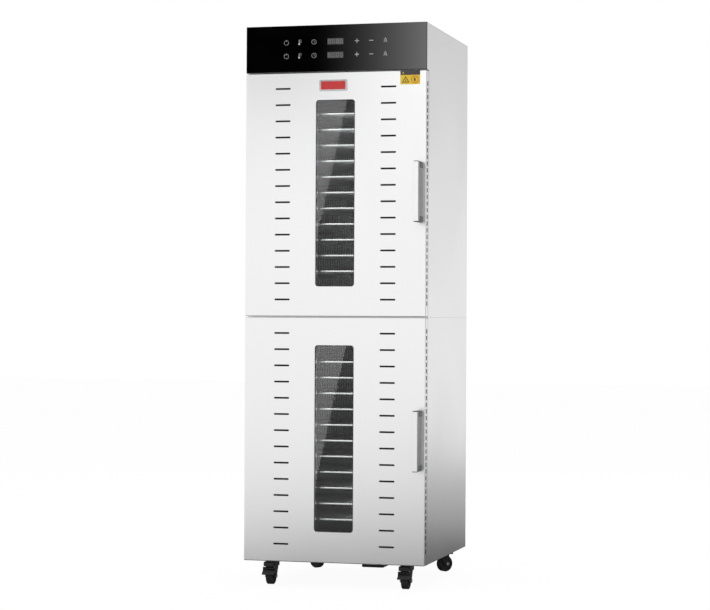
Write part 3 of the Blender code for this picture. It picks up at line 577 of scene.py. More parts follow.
def shaded(name, metallic=0.0, **fixed):
    """A new material with its Principled shader; fixed holds uniform values by socket title."""
    made = bpy.data.materials.new(name)
    made.use_nodes = True
    shader = made.node_tree.nodes["Principled BSDF"]
    shader.inputs["Metallic"].default_value = metallic
    for title, value in fixed.items():
        shader.inputs[title.replace("_", " ")].default_value = value
    return made, made.node_tree, shader


def with_group(tree, group, **values):
    node = tree.nodes.new("ShaderNodeGroup")
    node.node_tree = group
    for title, value in values.items():
        if title in ("Light", "Dark", "Base", "Worn"):
            value = (*value, 1.0)
        node.inputs[title].default_value = value
    return node


def bump(tree, shader, height, strength, distance):
    node = tree.nodes.new("ShaderNodeBump")
    node.inputs["Strength"].default_value = strength
    node.inputs["Distance"].default_value = distance
    tree.links.new(height, node.inputs["Height"])
    tree.links.new(node.outputs["Normal"], shader.inputs["Normal"])


def darker(tone, share):
    return tuple(channel * share for channel in tone)


def finishes():
    return bpy.context.scene.dehydrator_finish


def finish(name):
    """Turns a builder into a finish, whose material is built the first time and found again after that."""
    # The frame's own plain materials have the slots' names, so a finish's name is different
    title = f"{name}_finish"
    return lambda build: lambda: bpy.data.materials.get(title) or build(title)


def textured(title, group, metallic, strength, distance, **values):
    """A material that takes its colour, roughness and relief from a group."""
    made, tree, shader = shaded(title, metallic)
    texture = with_group(tree, group, **values)
    tree.links.new(texture.outputs["Colour"], shader.inputs["Base Color"])
    tree.links.new(texture.outputs["Roughness"], shader.inputs["Roughness"])
    bump(tree, shader, texture.outputs["Height"], strength, distance)
    return made


def brushed(name, setting, smooth_limit, rough_limit, stretch, contrast=0.93, strength=0.06):
    """Brushed metal in a setting's colour; contrast is the share of it that is left in the darkest grain."""
    @finish(name)
    def found(title):
        tone = getattr(finishes(), setting)
        return textured(title, grain_group(), 1.0, strength, 0.0004, Stretch=stretch, Light=tone,
                        Dark=darker(tone, contrast), Smooth=smooth_limit, Rough=rough_limit)
    return found


def moulded(name, base, worn, smooth_limit, rough_limit, scale=900.0, strength=0.15):
    """Plastic, rubber or film in a setting's colour or a plain one; worn is a colour, or a share of the base."""
    @finish(name)
    def found(title):
        tone = getattr(finishes(), base) if isinstance(base, str) else base
        patches = worn if isinstance(worn, tuple) else darker(tone, worn)
        return textured(title, moulding_group(), 0.0, strength, 0.0005, Scale=scale, Base=tone, Worn=patches,
                        Smooth=smooth_limit, Rough=rough_limit)
    return found


# Finishes: colour, darkest or worn tone, roughness limits and texture

satin_steel = brushed("satin_steel", "steel", 0.27, 0.37, (700.0, 700.0, 9.0), 0.955)
bright_steel = brushed("bright_steel", "bright", 0.20, 0.32, (500.0, 30.0, 500.0), 0.90)
zinc_plate = brushed("zinc_plate", "zinc", 0.35, 0.50, (160.0, 160.0, 160.0), 0.80)
heater_sheath = brushed("heater_sheath", "sheath", 0.35, 0.50, (90.0, 90.0, 90.0), 0.60)
satin_aluminium = brushed("satin_aluminium", "aluminium", 0.22, 0.32, (900.0, 900.0, 14.0), 0.95)
# Painted shade: the handles' aluminium darkened to stand for the shade on the bar's sides and the web
grey_aluminium = brushed("grey_aluminium", "grey_aluminium", 0.26, 0.36, (900.0, 900.0, 14.0), 0.90)
frame_chrome = brushed("frame_chrome", "chrome", 0.10, 0.18, (60.0, 60.0, 60.0), 0.90, 0.02)
seal_silicone = moulded("seal_silicone", "silicone", 1.25, 0.55, 0.75, 300.0)
# Painted shade: a dark rubber-like finish for the window trims, standing for the shaded edge of each window's opening
seal_rubber = moulded("seal_rubber", (0.030, 0.030, 0.031), (0.045, 0.045, 0.046), 0.50, 0.70, 600.0, 0.1)
black_plastic = moulded("black_plastic", "plastic", 1.9, 0.28, 0.45)
# Painted shade: a near-black sheet that stands for the dark inside the doors' vents
vent_screen = moulded("vent_screen", (0.006, 0.006, 0.006), (0.016, 0.016, 0.017), 0.70, 0.90, 1400.0, 0.5)
tread_rubber = moulded("tread_rubber", "rubber", 2.4, 0.60, 0.80, 500.0, 0.25)
touch_print = moulded("touch_print", "print_grey", 1.12, 0.40, 0.55, 1500.0, 0.02)
display_face = moulded("display_face", "display", 1.15, 0.20, 0.32, 1500.0, 0.02)
display_segment = moulded("display_segment", "segment", 1.10, 0.25, 0.35, 1500.0, 0.02)
red_enamel = moulded("red_enamel", "red", 1.12, 0.12, 0.22, 60.0, 0.02)
yellow_film = moulded("yellow_film", "yellow", 1.08, 0.28, 0.40, 700.0, 0.03)
dark_film = moulded("dark_film", (0.035, 0.028, 0.035), (0.05, 0.04, 0.05), 0.30, 0.42, 700.0, 0.03)
red_film = moulded("red_film", (0.70, 0.10, 0.02), (0.75, 0.14, 0.03), 0.30, 0.42, 700.0, 0.03)
lamp_lens = moulded("lamp_lens", (0.80, 0.79, 0.74), (0.86, 0.85, 0.80), 0.25, 0.40, 400.0, 0.05)


@finish("black_glass")
def black_glass(title):
    made, tree, shader = shaded(title, IOR=1.52, Coat_Weight=0.0, Specular_IOR_Level=0.5)
    marks = with_group(tree, handling_group(), Smooth=0.015, Rough=0.05)
    base = finishes().black_glass
    tone = mixed(tree, marks.outputs["Mask"], base, darker(base, 2))
    tree.links.new(tone, shader.inputs["Base Color"])
    tree.links.new(marks.outputs["Roughness"], shader.inputs["Roughness"])
    return made


@finish("window_glass")
def window_glass(title):
    """Clear glass that lets the lamps' light into the chamber."""
    made, tree, shader = shaded(title, IOR=1.30, Transmission_Weight=1.0)
    marks = with_group(tree, handling_group(), Smooth=0.01, Rough=0.04)
    tone = mixed(tree, marks.outputs["Mask"], (0.95, 0.97, 0.965), (0.90, 0.93, 0.92))
    tree.links.new(tone, shader.inputs["Base Color"])
    tree.links.new(marks.outputs["Roughness"], shader.inputs["Roughness"])
    path = tree.nodes.new("ShaderNodeLightPath")
    tree.links.new(maths(tree, "SUBTRACT", 1.0, path.outputs["Is Shadow Ray"]), shader.inputs["Alpha"])
    return made


@finish("board_green")
def board_green(title):
    """Solder mask with rows of lighter traces."""
    tone = finishes().board
    made, tree, shader = shaded(title, Roughness=0.4)
    traces = tree.nodes.new("ShaderNodeTexBrick")
    traces.inputs["Scale"].default_value = 90.0
    traces.inputs["Mortar Size"].default_value = 0.03
    turned = tree.nodes.new("ShaderNodeMapping")
    turned.inputs["Rotation"].default_value = (math.pi / 2, 0, 0)
    tree.links.new(object_place(tree), turned.inputs["Vector"])
    tree.links.new(turned.outputs["Vector"], traces.inputs["Vector"])
    tree.links.new(mixed(tree, traces.outputs["Fac"], tone, darker(tone, 2.5)), shader.inputs["Base Color"])
    return made


# Operators

def door_span(module):
    """The low and high ends of a door."""
    low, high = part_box(f"{module}_door_skin")
    return (BASE + GAP if module == "lower" else low.z), high.z


def window_of(module):
    """The window's opening, as (left, right, low, high)."""
    low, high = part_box(f"{module}_door_glass")
    lap = bpy.context.scene.dehydrator_door.glass_lap
    return low.x + lap, high.x - lap, low.z + lap, high.z - lap


def folded_sheet(name, low, high, bends, open_faces, thickness, radius):
    """A sheet folded along some edges of a box, open on some of its faces."""
    piece = block(name, low, high)
    if bends:
        round_edges(piece, bends, radius, 4)
    delete_faces(piece, open_faces)
    return apply_step(piece, "SOLIDIFY", thickness=thickness, offset=-1.0, use_even_offset=True)


class DEHYDRATOR_OT_casings(bpy.types.Operator):
    """Builds the two folded casings, with the shelf under the controls."""
    bl_idname = "dehydrator.casings"
    bl_label = "Casings"
    bl_options = {"REGISTER", "UNDO"}

    def execute(self, context):
        scene = context.scene
        size = scene.dehydrator_cabinet
        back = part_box("lower_casing")[1].y
        low = (LEFT, CABINET_FRONT, BASE)
        high = (RIGHT, back, SPLIT - GAP)
        bottom = lies_at("Z", BASE)
        lengthwise = runs_along("Y")
        lower = folded_sheet(
            "lower_casing_shell", low, high, lambda edge: bottom(edge) and lengthwise(edge),
            lambda face: abs(face.normal.y) > 0.9 or face.normal.z > 0.9, size.sheet, size.bend)
        dress(lower, satin_steel(), "root", "stainless_steel", ["lower_casing"])
        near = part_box("upper_casing")[0].y
        top = lies_at("Z", TOP)
        upper = folded_sheet(
            "upper_casing_shell", (LEFT, near, SPLIT), (RIGHT, back, TOP),
            lambda edge: top(edge) and lengthwise(edge),
            lambda face: abs(face.normal.y) > 0.9 or face.normal.z < -0.9, size.sheet, size.bend)
        cut(upper, block("door_space", (LEFT - size.sheet, FRONT, SPLIT - size.sheet),
                         (RIGHT + size.sheet, CABINET_FRONT, FASCIA_BOTTOM)))
        dress(upper, satin_steel(), "root", "stainless_steel", ["upper_casing"])
        inset = size.sheet + GAP
        shelf = block("control_shelf", (LEFT + inset, near, FASCIA_BOTTOM + GAP),
                      (RIGHT - inset, back, FASCIA_BOTTOM + size.sheet))
        round_all(shelf, size.sheet / 4, 1)
        dress(shelf, satin_steel(), "root", "stainless_steel")
        return {"FINISHED"}


class DEHYDRATOR_OT_back(bpy.types.Operator):
    """Builds the back panel with its hooded louvres and its screws."""
    bl_idname = "dehydrator.back_panel"
    bl_label = "Back Panel"
    bl_options = {"REGISTER", "UNDO"}

    def execute(self, context):
        scene = context.scene
        size = scene.dehydrator_cabinet
        panel = block("back_cover", (LEFT, PANEL_FRONT, BASE), (RIGHT, BACK, TOP))
        round_edges(panel, lies_at("Y", BACK), size.sheet / 2, 2)
        hoods = []
        half = size.louvre_length / 2
        for module in MODULES:
            fan_axis = JOINTS[f"{module}_fan_spin"]["pos_m"][2]
            first = fan_axis - size.louvre_drop
            low = first - size.louvre_height / 2
            slot = block("slots", (MIDDLE - half, PANEL_FRONT - size.sheet, low),
                         (MIDDLE + half, BACK + size.sheet, low + size.louvre_height))
            cut(panel, row(slot, size.louvres, (0, 0, -size.louvre_pitch)))
            hood = block(f"{module}_hoods", (MIDDLE - half, BACK - size.sheet, low),
                         (MIDDLE + half, BACK + size.hood, low + size.louvre_height + size.sheet))
            outer = lies_at("Y", BACK + size.hood)
            round_edges(hood, lambda edge, at=outer: at(edge) and edge.verts[0].co.z + edge.verts[1].co.z > 2 * low
                        + size.louvre_height, size.hood * 0.8, 4)
            delete_faces(hood, lambda face: face.normal.z < -0.9 or face.normal.y < -0.9)
            apply_step(hood, "SOLIDIFY", thickness=size.sheet * 0.7, offset=-1.0)
            hoods.append(row(hood, size.louvres, (0, 0, -size.louvre_pitch)))
        dress(panel, satin_steel(), "root", "stainless_steel", ["back_panel"])
        dress(joined("louvre_hoods", hoods), satin_steel(), "root", "stainless_steel")
        inset = size.screw_inset
        rise = (TOP - BASE - 2 * inset) / (size.screw_rows - 1)
        places = [(x, BACK, BASE + inset + index * rise)
                  for x in (LEFT + inset, RIGHT - inset) for index in range(size.screw_rows)]
        places += [(MIDDLE, BACK, BASE + inset), (MIDDLE, BACK, TOP - inset)]
        for module in MODULES:
            axis = JOINTS[f"{module}_fan_spin"]["pos_m"][2]
            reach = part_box(f"{module}_fan_motor")[1].z - axis - 2 * size.screw
            places += [(MIDDLE + reach * math.cos(turn), BACK, axis + reach * math.sin(turn))
                       for turn in (math.radians(45 + 90 * index) for index in range(4))]
        dress(screws("back_screws", places, size.screw, 1), zinc_plate(), "root", "galvanised_steel")
        return {"FINISHED"}


class DEHYDRATOR_OT_doors(bpy.types.Operator):
    """Builds each door's folded outer sheet, with its window and its vents."""
    bl_idname = "dehydrator.doors"
    bl_label = "Doors"
    bl_options = {"REGISTER", "UNDO"}

    def vents(self, size, low):
        near, far = FRONT - 0.002, FRONT + 0.004
        half = size.vent_length / 2
        z = low + size.vent_first - size.vent_height / 2
        columns = []
        for side in (-1, 1):
            x = MIDDLE + side * size.vent_spread
            slot = rounded_plate("vents", (x - half, near, z), (x + half, far, z + size.vent_height),
                                 size.vent_height * 0.48)
            columns.append(row(slot, size.vent_rows, (0, 0, size.vent_pitch)))
        return joined("vents", columns)

    def edge_vents(self, size, low, high):
        span = high - low - 2 * size.edge_vent_margin
        rows = int(span / size.edge_vent_pitch)
        first = (low + high - (rows - 1) * size.edge_vent_pitch - size.edge_vent_height) / 2
        y = (FRONT + DOOR_BACK - size.edge_vent_depth) / 2
        slot = rounded_plate("edge_vents", (RIGHT - 0.003, y, first),
                             (RIGHT + 0.003, y + size.edge_vent_depth, first + size.edge_vent_height),
                             0.0015, "X", 3)
        return row(slot, rows, (0, 0, size.edge_vent_pitch))

    def screens(self, size, sheet, module, foot):
        """Near-black sheets behind the two columns of vents and behind the vents in the door's edge: painted shade
        that stands for the dark inside the vents.
        """
        margin = 0.006
        near = FRONT + sheet + GAP
        low = foot + size.vent_first - size.vent_height / 2 - margin
        high = foot + size.vent_first + (size.vent_rows - 1) * size.vent_pitch + size.vent_height / 2 + margin
        half = size.vent_length / 2 + margin
        parts = []
        for side in (-1, 1):
            x = MIDDLE + side * size.vent_spread
            parts.append(rounded_plate("screen", (x - half, near, low), (x + half, near + 0.0012, high), 0.003))
        edge = RIGHT - sheet - GAP
        y = (FRONT + DOOR_BACK - size.edge_vent_depth) / 2
        door_low, door_high = door_span(module)
        reach = size.edge_vent_margin - margin / 2
        parts.append(rounded_plate("screen", (edge - 0.0012, y - 0.002, door_low + reach),
                                   (edge, y + size.edge_vent_depth + 0.002, door_high - reach), 0.003, "X"))
        return joined(f"{module}_vent_screens", parts)

    def execute(self, context):
        scene = context.scene
        size = scene.dehydrator_door
        sheet = scene.dehydrator_cabinet.sheet
        front, depthwise = lies_at("Y", FRONT), runs_along("Y")
        for module in MODULES:
            low, high = door_span(module)
            skin = folded_sheet(
                f"{module}_door_sheet", (LEFT, FRONT, low), (RIGHT, DOOR_BACK, high),
                lambda edge: front(edge) or depthwise(edge),
                lambda face: face.normal.y > 0.9, sheet, size.bend)
            left, right, sill, head = window_of(module)
            opening = rounded_plate("window", (left, FRONT - 0.002, sill), (right, FRONT + 0.004, head),
                                    size.window_corner, "Y", 6)
            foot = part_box(f"{module}_door_skin")[0].z
            cut(skin, opening, self.vents(size, foot), self.edge_vents(size, foot, high))
            dress(skin, satin_steel(), f"{module}_door", "stainless_steel", [f"{module}_door_skin"])
            # The black sheets behind the vents are painted shade
            dress(self.screens(size, sheet, module, foot), vent_screen(), f"{module}_door", "black_plastic")
        return {"FINISHED"}


def knuckle_spans(size, low, high):
    """The low and high ends of each knuckle along a hinge."""
    step = (high - low) / size.knuckles
    gap = size.knuckle_gap / 2
    return [(low + index * step + gap, low + (index + 1) * step - gap) for index in range(size.knuckles)]


class DEHYDRATOR_OT_window_trims(bpy.types.Operator):
    """Builds the dark trim inside each window's opening: a ring in a rubber-like finish that paints the shade on the
    edge of the opening's sheet.
    """
    bl_idname = "dehydrator.window_trims"
    bl_label = "Window Trims"
    bl_options = {"REGISTER", "UNDO"}

    def execute(self, context):
        scene = context.scene
        size = scene.dehydrator_door
        sheet = scene.dehydrator_cabinet.sheet
        for module in MODULES:
            left, right, sill, head = window_of(module)
            gap, wide = GAP / 3, size.trim
            trim = rounded_plate(f"{module}_window_trim", (left + gap, FRONT, sill + gap),
                                 (right - gap, FRONT + sheet, head - gap), size.window_corner - gap, "Y", 6)
            cut(trim, rounded_plate("inside", (left + wide, FRONT - 0.01, sill + wide),
                                    (right - wide, FRONT + 0.01, head - wide), size.window_corner - wide, "Y", 6))
            # The trim's dark finish is painted shade
            dress(trim, seal_rubber(), f"{module}_door", "silicone")
        return {"FINISHED"}


class DEHYDRATOR_OT_hinges(bpy.types.Operator):
    """Builds the continuous hinges: a leaf on the cabinet, a leaf on the door, and their knuckles."""
    bl_idname = "dehydrator.hinges"
    bl_label = "Hinges"
    bl_options = {"REGISTER", "UNDO"}

    def execute(self, context):
        scene = context.scene
        size = scene.dehydrator_door
        for module in MODULES:
            low, high = door_span(module)
            x, y, _ = JOINTS[f"{module}_door_hinge"]["pos_m"]
            spans = knuckle_spans(size, low, high)
            for own, side, body, name, node in (
                    (spans[0::2], 1, "root", "cabinet_leaf", [f"{module}_hinge"]),
                    (spans[1::2], -1, f"{module}_door", "door_leaf", [])):
                parts = []
                for bottom, top in own:
                    knuckle = rod("knuckle", (x, y, bottom), (x, y, top), size.barrel, 20)
                    round_all(knuckle, 0.0003, 1)
                    if side < 0:
                        cut(knuckle, rod("bore", (x, y, bottom - 0.01), (x, y, top + 0.01), size.pin * 1.3, 16))
                    parts.append(knuckle)
                edge, root = sorted((y + side * size.leaf_width, y + side * size.barrel * 1.27))
                first, last = (own[0][0], own[-1][1]) if side > 0 else (low + 0.001, high - 0.001)
                leaf = block("leaf", (LEFT - GAP - size.leaf, edge, first), (LEFT - GAP, root, last))
                parts.append(round_all(leaf, 0.0003, 1))
                for bottom, top in own:
                    lo, hi = sorted((y + side * size.pin * 1.4, y + side * size.barrel * 1.4))
                    parts.append(block("tooth", (LEFT - GAP - size.leaf, lo, bottom), (LEFT - GAP, hi, top)))
                if side > 0:
                    parts.append(rod("pin", (x, y, own[0][0]), (x, y, own[-1][1]), size.pin, 16))
                dress(joined(f"{module}_{name}", parts), satin_steel(), body, "stainless_steel", node)
        return {"FINISHED"}


class DEHYDRATOR_OT_handles(bpy.types.Operator):
    """Builds the pull handles: a satin bar, the web behind it, black end blocks and end caps; the bar's sides and the
    web take a darker copy of the aluminium, which is painted shade.
    """
    bl_idname = "dehydrator.handles"
    bl_label = "Handles"
    bl_options = {"REGISTER", "UNDO"}

    def execute(self, context):
        scene = context.scene
        size = scene.dehydrator_handle
        for module in MODULES:
            low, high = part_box(f"{module}_door_handle")
            body = f"{module}_door"
            bar_back = low.y + size.bar_depth
            face = block(f"{module}_handle_face", (low.x, low.y, low.z + size.cap),
                         (high.x, low.y + size.face, high.z - size.cap))
            round_edges(face, runs_along("Z"), size.edge * 0.6, 3)
            dress(face, satin_aluminium(), body, "aluminium", [f"{module}_door_handle"])
            # The bar's sides take the darker aluminium: painted shade
            bar = block(f"{module}_handle_bar", (low.x + size.step, low.y + size.face, low.z + size.cap),
                        (high.x - size.step, bar_back, high.z - size.cap))
            round_edges(bar, runs_along("Z"), size.edge, 4)
            dress(bar, grey_aluminium(), body, "aluminium")
            caps = []
            for foot in (low.z, high.z - size.cap):
                cap = block("cap", (low.x, low.y, foot), (high.x, bar_back, foot + size.cap))
                round_edges(cap, runs_along("Z"), size.edge, 4)
                caps.append(round_edges(cap, lambda edge: not runs_along("Z")(edge), 0.0004, 1))
            for foot in (low.z, high.z - size.block):
                part = block("end", (low.x + GAP, bar_back, foot), (high.x - GAP, high.y, foot + size.block))
                caps.append(round_all(part, 0.0012, 3))
            dress(joined(f"{module}_handle_ends", caps), black_plastic(), body, "black_plastic")
            web_right = high.x - size.web_inset
            # The web takes the darker aluminium too: painted shade
            web = block(f"{module}_handle_web", (web_right - size.web, bar_back, low.z + size.block),
                        (web_right, high.y, high.z - size.block))
            flange = block("flange", (low.x + 2 * size.edge, bar_back, low.z + size.block),
                           (web_right - size.web, bar_back + size.groove, high.z - size.block))
            web = joined(f"{module}_handle_web", [round_all(web, 0.0004, 2), round_all(flange, 0.0004, 1)])
            dress(web, grey_aluminium(), body, "aluminium")
        return {"FINISHED"}


class DEHYDRATOR_OT_trays(bpy.types.Operator):
    """Builds one wire tray and copies it to every runner."""
    bl_idname = "dehydrator.trays"
    bl_label = "Trays"
    bl_options = {"REGISTER", "UNDO"}

    def wires(self, size, low, high):
        """The mesh: wires across and wires lengthwise, resting on each other, and two braces below."""
        middle = (low.z + high.z) / 2
        inset = size.rim / 2
        left, right = low.x + inset, high.x - inset
        near, far = low.y + inset, high.y - inset
        across = int((far - near) / size.pitch)
        along = int((right - left) / size.pitch)
        first_y = (near + far - (across - 1) * size.pitch) / 2
        first_x = (left + right - (along - 1) * size.pitch) / 2
        z = middle + size.wire
        parts = [
            row(rod("across", (left, first_y, z), (right, first_y, z), size.wire, 5), across, (0, size.pitch, 0)),
            row(rod("along", (first_x, near, z - 1.8 * size.wire), (first_x, far, z - 1.8 * size.wire),
                    size.wire, 5), along, (size.pitch, 0, 0)),
        ]
        for share in (1 / 3, 2 / 3):
            x = left + (right - left) * share
            under = low.z + size.brace
            parts.append(rod("brace", (x, near, under), (x, far, under), size.brace, 10))
        return parts

    def execute(self, context):
        scene = context.scene
        size = scene.dehydrator_tray
        first = TRAYS[0]
        low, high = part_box(first)
        rim = rounded_plate("rim", low, high, size.corner, "Z", 5)
        inner_low = (low.x + size.rim, low.y + size.rim, low.z - 0.01)
        inner_high = (high.x - size.rim, high.y - size.rim, high.z + 0.01)
        cut(rim, rounded_plate("inside", inner_low, inner_high, size.corner - size.rim / 2, "Z", 5))
        round_edges(rim, lambda edge: lies_at("Z", low.z)(edge) or lies_at("Z", high.z)(edge), 0.0012, 2)
        tray = joined("tray", [rim] + self.wires(size, low, high))
        for name in TRAYS:
            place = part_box(name)[0]
            dress(copied(tray, f"{name}_wirework", place - low), bright_steel(), name, "bright_steel", [name])
        bpy.data.objects.remove(tray)
        return {"FINISHED"}


class Marks:
    """Flat printed shapes on the fascia, each from FRONT out to its own thickness."""
    # Each mark in a row, and how far it stands from the fascia's middle
    ROW = (("power", -0.153), ("thermometer", -0.111), ("clock", -0.067),
           ("plus", 0.065), ("minus", 0.109), ("lamp", 0.152))

    def __init__(self, size):
        self.size = size
        self.near = FRONT - size.proud
        self.far = FRONT + size.proud

    def bar(self, x, z, width, height, turn=0.0):
        half_x, half_z = width / 2, height / 2
        mark = rounded_plate("mark", (-half_x, self.near, -half_z), (half_x, self.far, half_z),
                             min(half_x, half_z) * 0.9, "Y", 3)
        mark.data.transform(Matrix.Translation((x, 0, z)) @ Matrix.Rotation(turn, 4, "Y"))
        return mark

    def ring(self, x, z, radius, stroke, sides=32):
        mark = rod("mark", (x, self.near, z), (x, self.far, z), radius, sides)
        return cut(mark, rod("hole", (x, self.near - 0.01, z), (x, self.far + 0.01, z), radius - stroke, sides))

    def disc(self, x, z, radius):
        return rod("mark", (x, self.near, z), (x, self.far, z), radius, 24)

    def power(self, x, z):
        size = self.size
        ring = self.ring(x, z - 0.0008, size.mark, size.stroke * 0.5)
        half = size.stroke * 1.1
        cut(ring, block("gap", (x - half, self.near - 0.01, z), (x + half, self.far + 0.01, z + 0.02)))
        return [ring, self.bar(x, z + size.mark * 0.72, size.stroke * 0.55, size.mark * 0.8)]

    def thermometer(self, x, z):
        size = self.size
        stem = x - 0.0022
        parts = [self.bar(stem, z + 0.0018, size.stroke * 0.9, 0.0125), self.disc(stem, z - 0.0052, 0.0026)]
        parts += [self.bar(stem + 0.0052, z + 0.0068 - index * 0.0036, 0.0038, size.stroke * 0.55)
                  for index in range(3)]
        return parts

    def clock(self, x, z):
        size = self.size
        hand = size.mark * 0.52
        return [self.ring(x, z, size.mark, size.stroke * 0.5),
                self.bar(x, z + hand / 2, size.stroke * 0.45, hand),
                self.bar(x + hand * 0.32, z - hand * 0.26, size.stroke * 0.45, hand * 0.9, math.radians(-50))]

    def minus(self, x, z):
        return [self.bar(x, z, self.size.mark * 1.75, self.size.stroke * 1.2)]

    def plus(self, x, z):
        return self.minus(x, z) + [self.bar(x, z, self.size.stroke * 1.2, self.size.mark * 1.75)]

    def lamp(self, x, z):
        size = self.size
        radius = size.mark * 0.56
        parts = [self.ring(x, z, radius, size.stroke * 0.8, 24), self.disc(x, z, size.stroke * 0.5),
                 self.bar(x, z + radius + 0.0014, size.stroke * 0.9, 0.0036)]
        for side in (-1, 1):
            parts.append(self.bar(x + side * radius * 0.95, z - radius * 1.15, size.stroke * 0.8, 0.0050,
                                  side * math.radians(-35)))
        return parts


class DEHYDRATOR_OT_controls(bpy.types.Operator):
    """Builds the black glass fascia with its touch marks and its two displays."""
    bl_idname = "dehydrator.controls"
    bl_label = "Controls"
    bl_options = {"REGISTER", "UNDO"}

    def digit(self, x, z, wide, tall, thick, near):
        """A zero of a segment display: six segments around a gap."""
        parts = []
        for side in (-1, 1):
            parts.append(((x + side * wide / 2, z + tall / 4), thick, tall / 2 - thick * 1.3))
            parts.append(((x + side * wide / 2, z - tall / 4), thick, tall / 2 - thick * 1.3))
            parts.append(((x, z + side * tall / 2), wide - thick * 1.2, thick))
        made = []
        for (px, pz), width, height in parts:
            made.append(block("segment", (px - width / 2, near - 0.0001, pz - height / 2),
                              (px + width / 2, near + 0.0001, pz + height / 2)))
        return made

    def execute(self, context):
        scene = context.scene
        size = scene.dehydrator_control
        glass = block("fascia_glass", (LEFT, FRONT, FASCIA_BOTTOM), (RIGHT, FASCIA_BACK, TOP))
        round_edges(glass, lies_at("Y", FRONT), size.edge, 3)
        dress(glass, black_glass(), "root", "black_glass", ["control_fascia"])
        marks = Marks(size)
        for index, name in enumerate(("upper", "lower")):
            z = FASCIA_BOTTOM + size.upper_row - index * size.row_drop
            parts = []
            for shape, x in Marks.ROW:
                parts += getattr(marks, shape)(MIDDLE + x, z)
            dress(joined(f"{name}_touch_marks", parts), touch_print(), "root")
            middle = MIDDLE - 0.001
            half_x, half_z = size.display_width / 2, size.display_height / 2
            face = rounded_plate(f"{name}_display", (middle - half_x, marks.near, z - half_z),
                                 (middle + half_x, marks.far, z + half_z), 0.001)
            dress(face, display_face(), "root")
            pitch = size.display_width / size.digits
            segments = []
            for place in range(size.digits):
                x = middle + (place - (size.digits - 1) / 2) * pitch
                segments += self.digit(x, z, pitch * 0.46, size.display_height * 0.56, 0.0011, marks.near)
            dress(joined(f"{name}_display_digits", segments), display_segment(), "root")
        return {"FINISHED"}


class DEHYDRATOR_OT_badge(bpy.types.Operator):
    """Builds the plain badge and the pictogram label on the upper door."""
    bl_idname = "dehydrator.badge"
    bl_label = "Badge and Label"
    bl_options = {"REGISTER", "UNDO"}

    def execute(self, context):
        scene = context.scene
        size = scene.dehydrator_badge
        body = "upper_door"
        _, door_top = door_span("upper")
        low = Vector((MIDDLE + size.left, FRONT - 0.0022, door_top - size.drop - size.height))
        high = Vector((low.x + size.width, FRONT - 0.0001, door_top - size.drop))
        frame_piece = rounded_plate("badge_frame", low, high, 0.0042)
        round_edges(frame_piece, lies_at("Y", low.y), 0.0010, 3)
        edge = Vector((size.border, 0, size.border * 0.8))
        field_low, field_high = low + edge, high - edge
        recess = rounded_plate("recess", (field_low.x, low.y - 0.01, field_low.z),
                               (field_high.x, low.y + 0.0006, field_high.z), 0.0022)
        cut(frame_piece, recess)
        dress(frame_piece, frame_chrome(), body, "bright_steel")
        inset = Vector((GAP, 0, GAP))
        field = rounded_plate("badge_field", Vector((field_low.x, low.y + 0.0002, field_low.z)) + inset,
                              Vector((field_high.x, low.y + 0.0007, field_high.z)) - inset, 0.0020)
        round_edges(field, lies_at("Y", low.y + 0.0002), 0.0002, 2)
        dress(field, red_enamel(), body)
        self.label(size, body, door_top)
        return {"FINISHED"}

    def label(self, size, body, door_top):
        """The label: a yellow field, a dark band with a tick, and two signs with no words."""
        right = RIGHT - size.label_edge
        left = right - size.label_width
        high = door_top - size.label_drop
        low = high - size.label_height
        near = FRONT - 0.0003
        skin = 0.0001
        band = high - size.label_height * size.band
        plate = rounded_plate("label_field", (left, near, low), (right, FRONT - skin, high), 0.002)
        dress(plate, yellow_film(), body)
        strip = rounded_plate("label_band", (left, near - skin, band), (right, near + skin, high), 0.0019)
        dress(strip, dark_film(), body)
        tick = self.triangle("tick", left + 0.009, (band + high) / 2, size.tick, near - 2 * skin)
        dress(tick, yellow_film(), body)
        middle = (low + band) / 2
        inset = size.label_width * 0.27
        x, z = left + inset, middle - 0.0022
        sign = self.triangle("label_triangle", x, z, size.sign, near - skin)
        cut(sign, self.triangle("inside", x, z, size.sign_inside, near - 3 * skin, 0.001))
        pan = block("pan", (x - 0.0013, near - skin, middle - 0.0058), (x + 0.0013, near + skin, middle + 0.0006))
        x = right - inset
        flame = rounded_plate("flame", (x - 0.0024, near - skin, middle - 0.0056),
                              (x + 0.0024, near + skin, middle + 0.0056), 0.0020)
        dress(joined("label_signs", [sign, pan, flame]), dark_film(), body)
        ring = rod("label_ring", (x, near - skin, middle), (x, near + skin, middle), size.ring, 32)
        cut(ring, rod("hole", (x, near - 0.01, middle), (x, near + 0.01, middle), size.ring_inside, 32))
        dress(ring, red_film(), body)

    def triangle(self, name, x, z, radius, near, thick=0.0003):
        deselect()
        bpy.ops.mesh.primitive_cylinder_add(vertices=3, radius=radius, depth=thick,
                                            location=(x, near + thick / 2, z), rotation=(math.pi / 2, 0, 0))
        return settled(name)


def caster_frame(corner):
    """The matrix from a caster's own space, axle along X and wheel towards -Y, to its place."""
    place = Vector(JOINTS[f"{corner}_swivel"]["pos_m"])
    axle = Vector(JOINTS[f"{corner}_roll"]["axis"])
    return Matrix.Translation((place.x, place.y, 0)) @ Matrix.Rotation(math.atan2(axle.y, axle.x), 4, "Z")


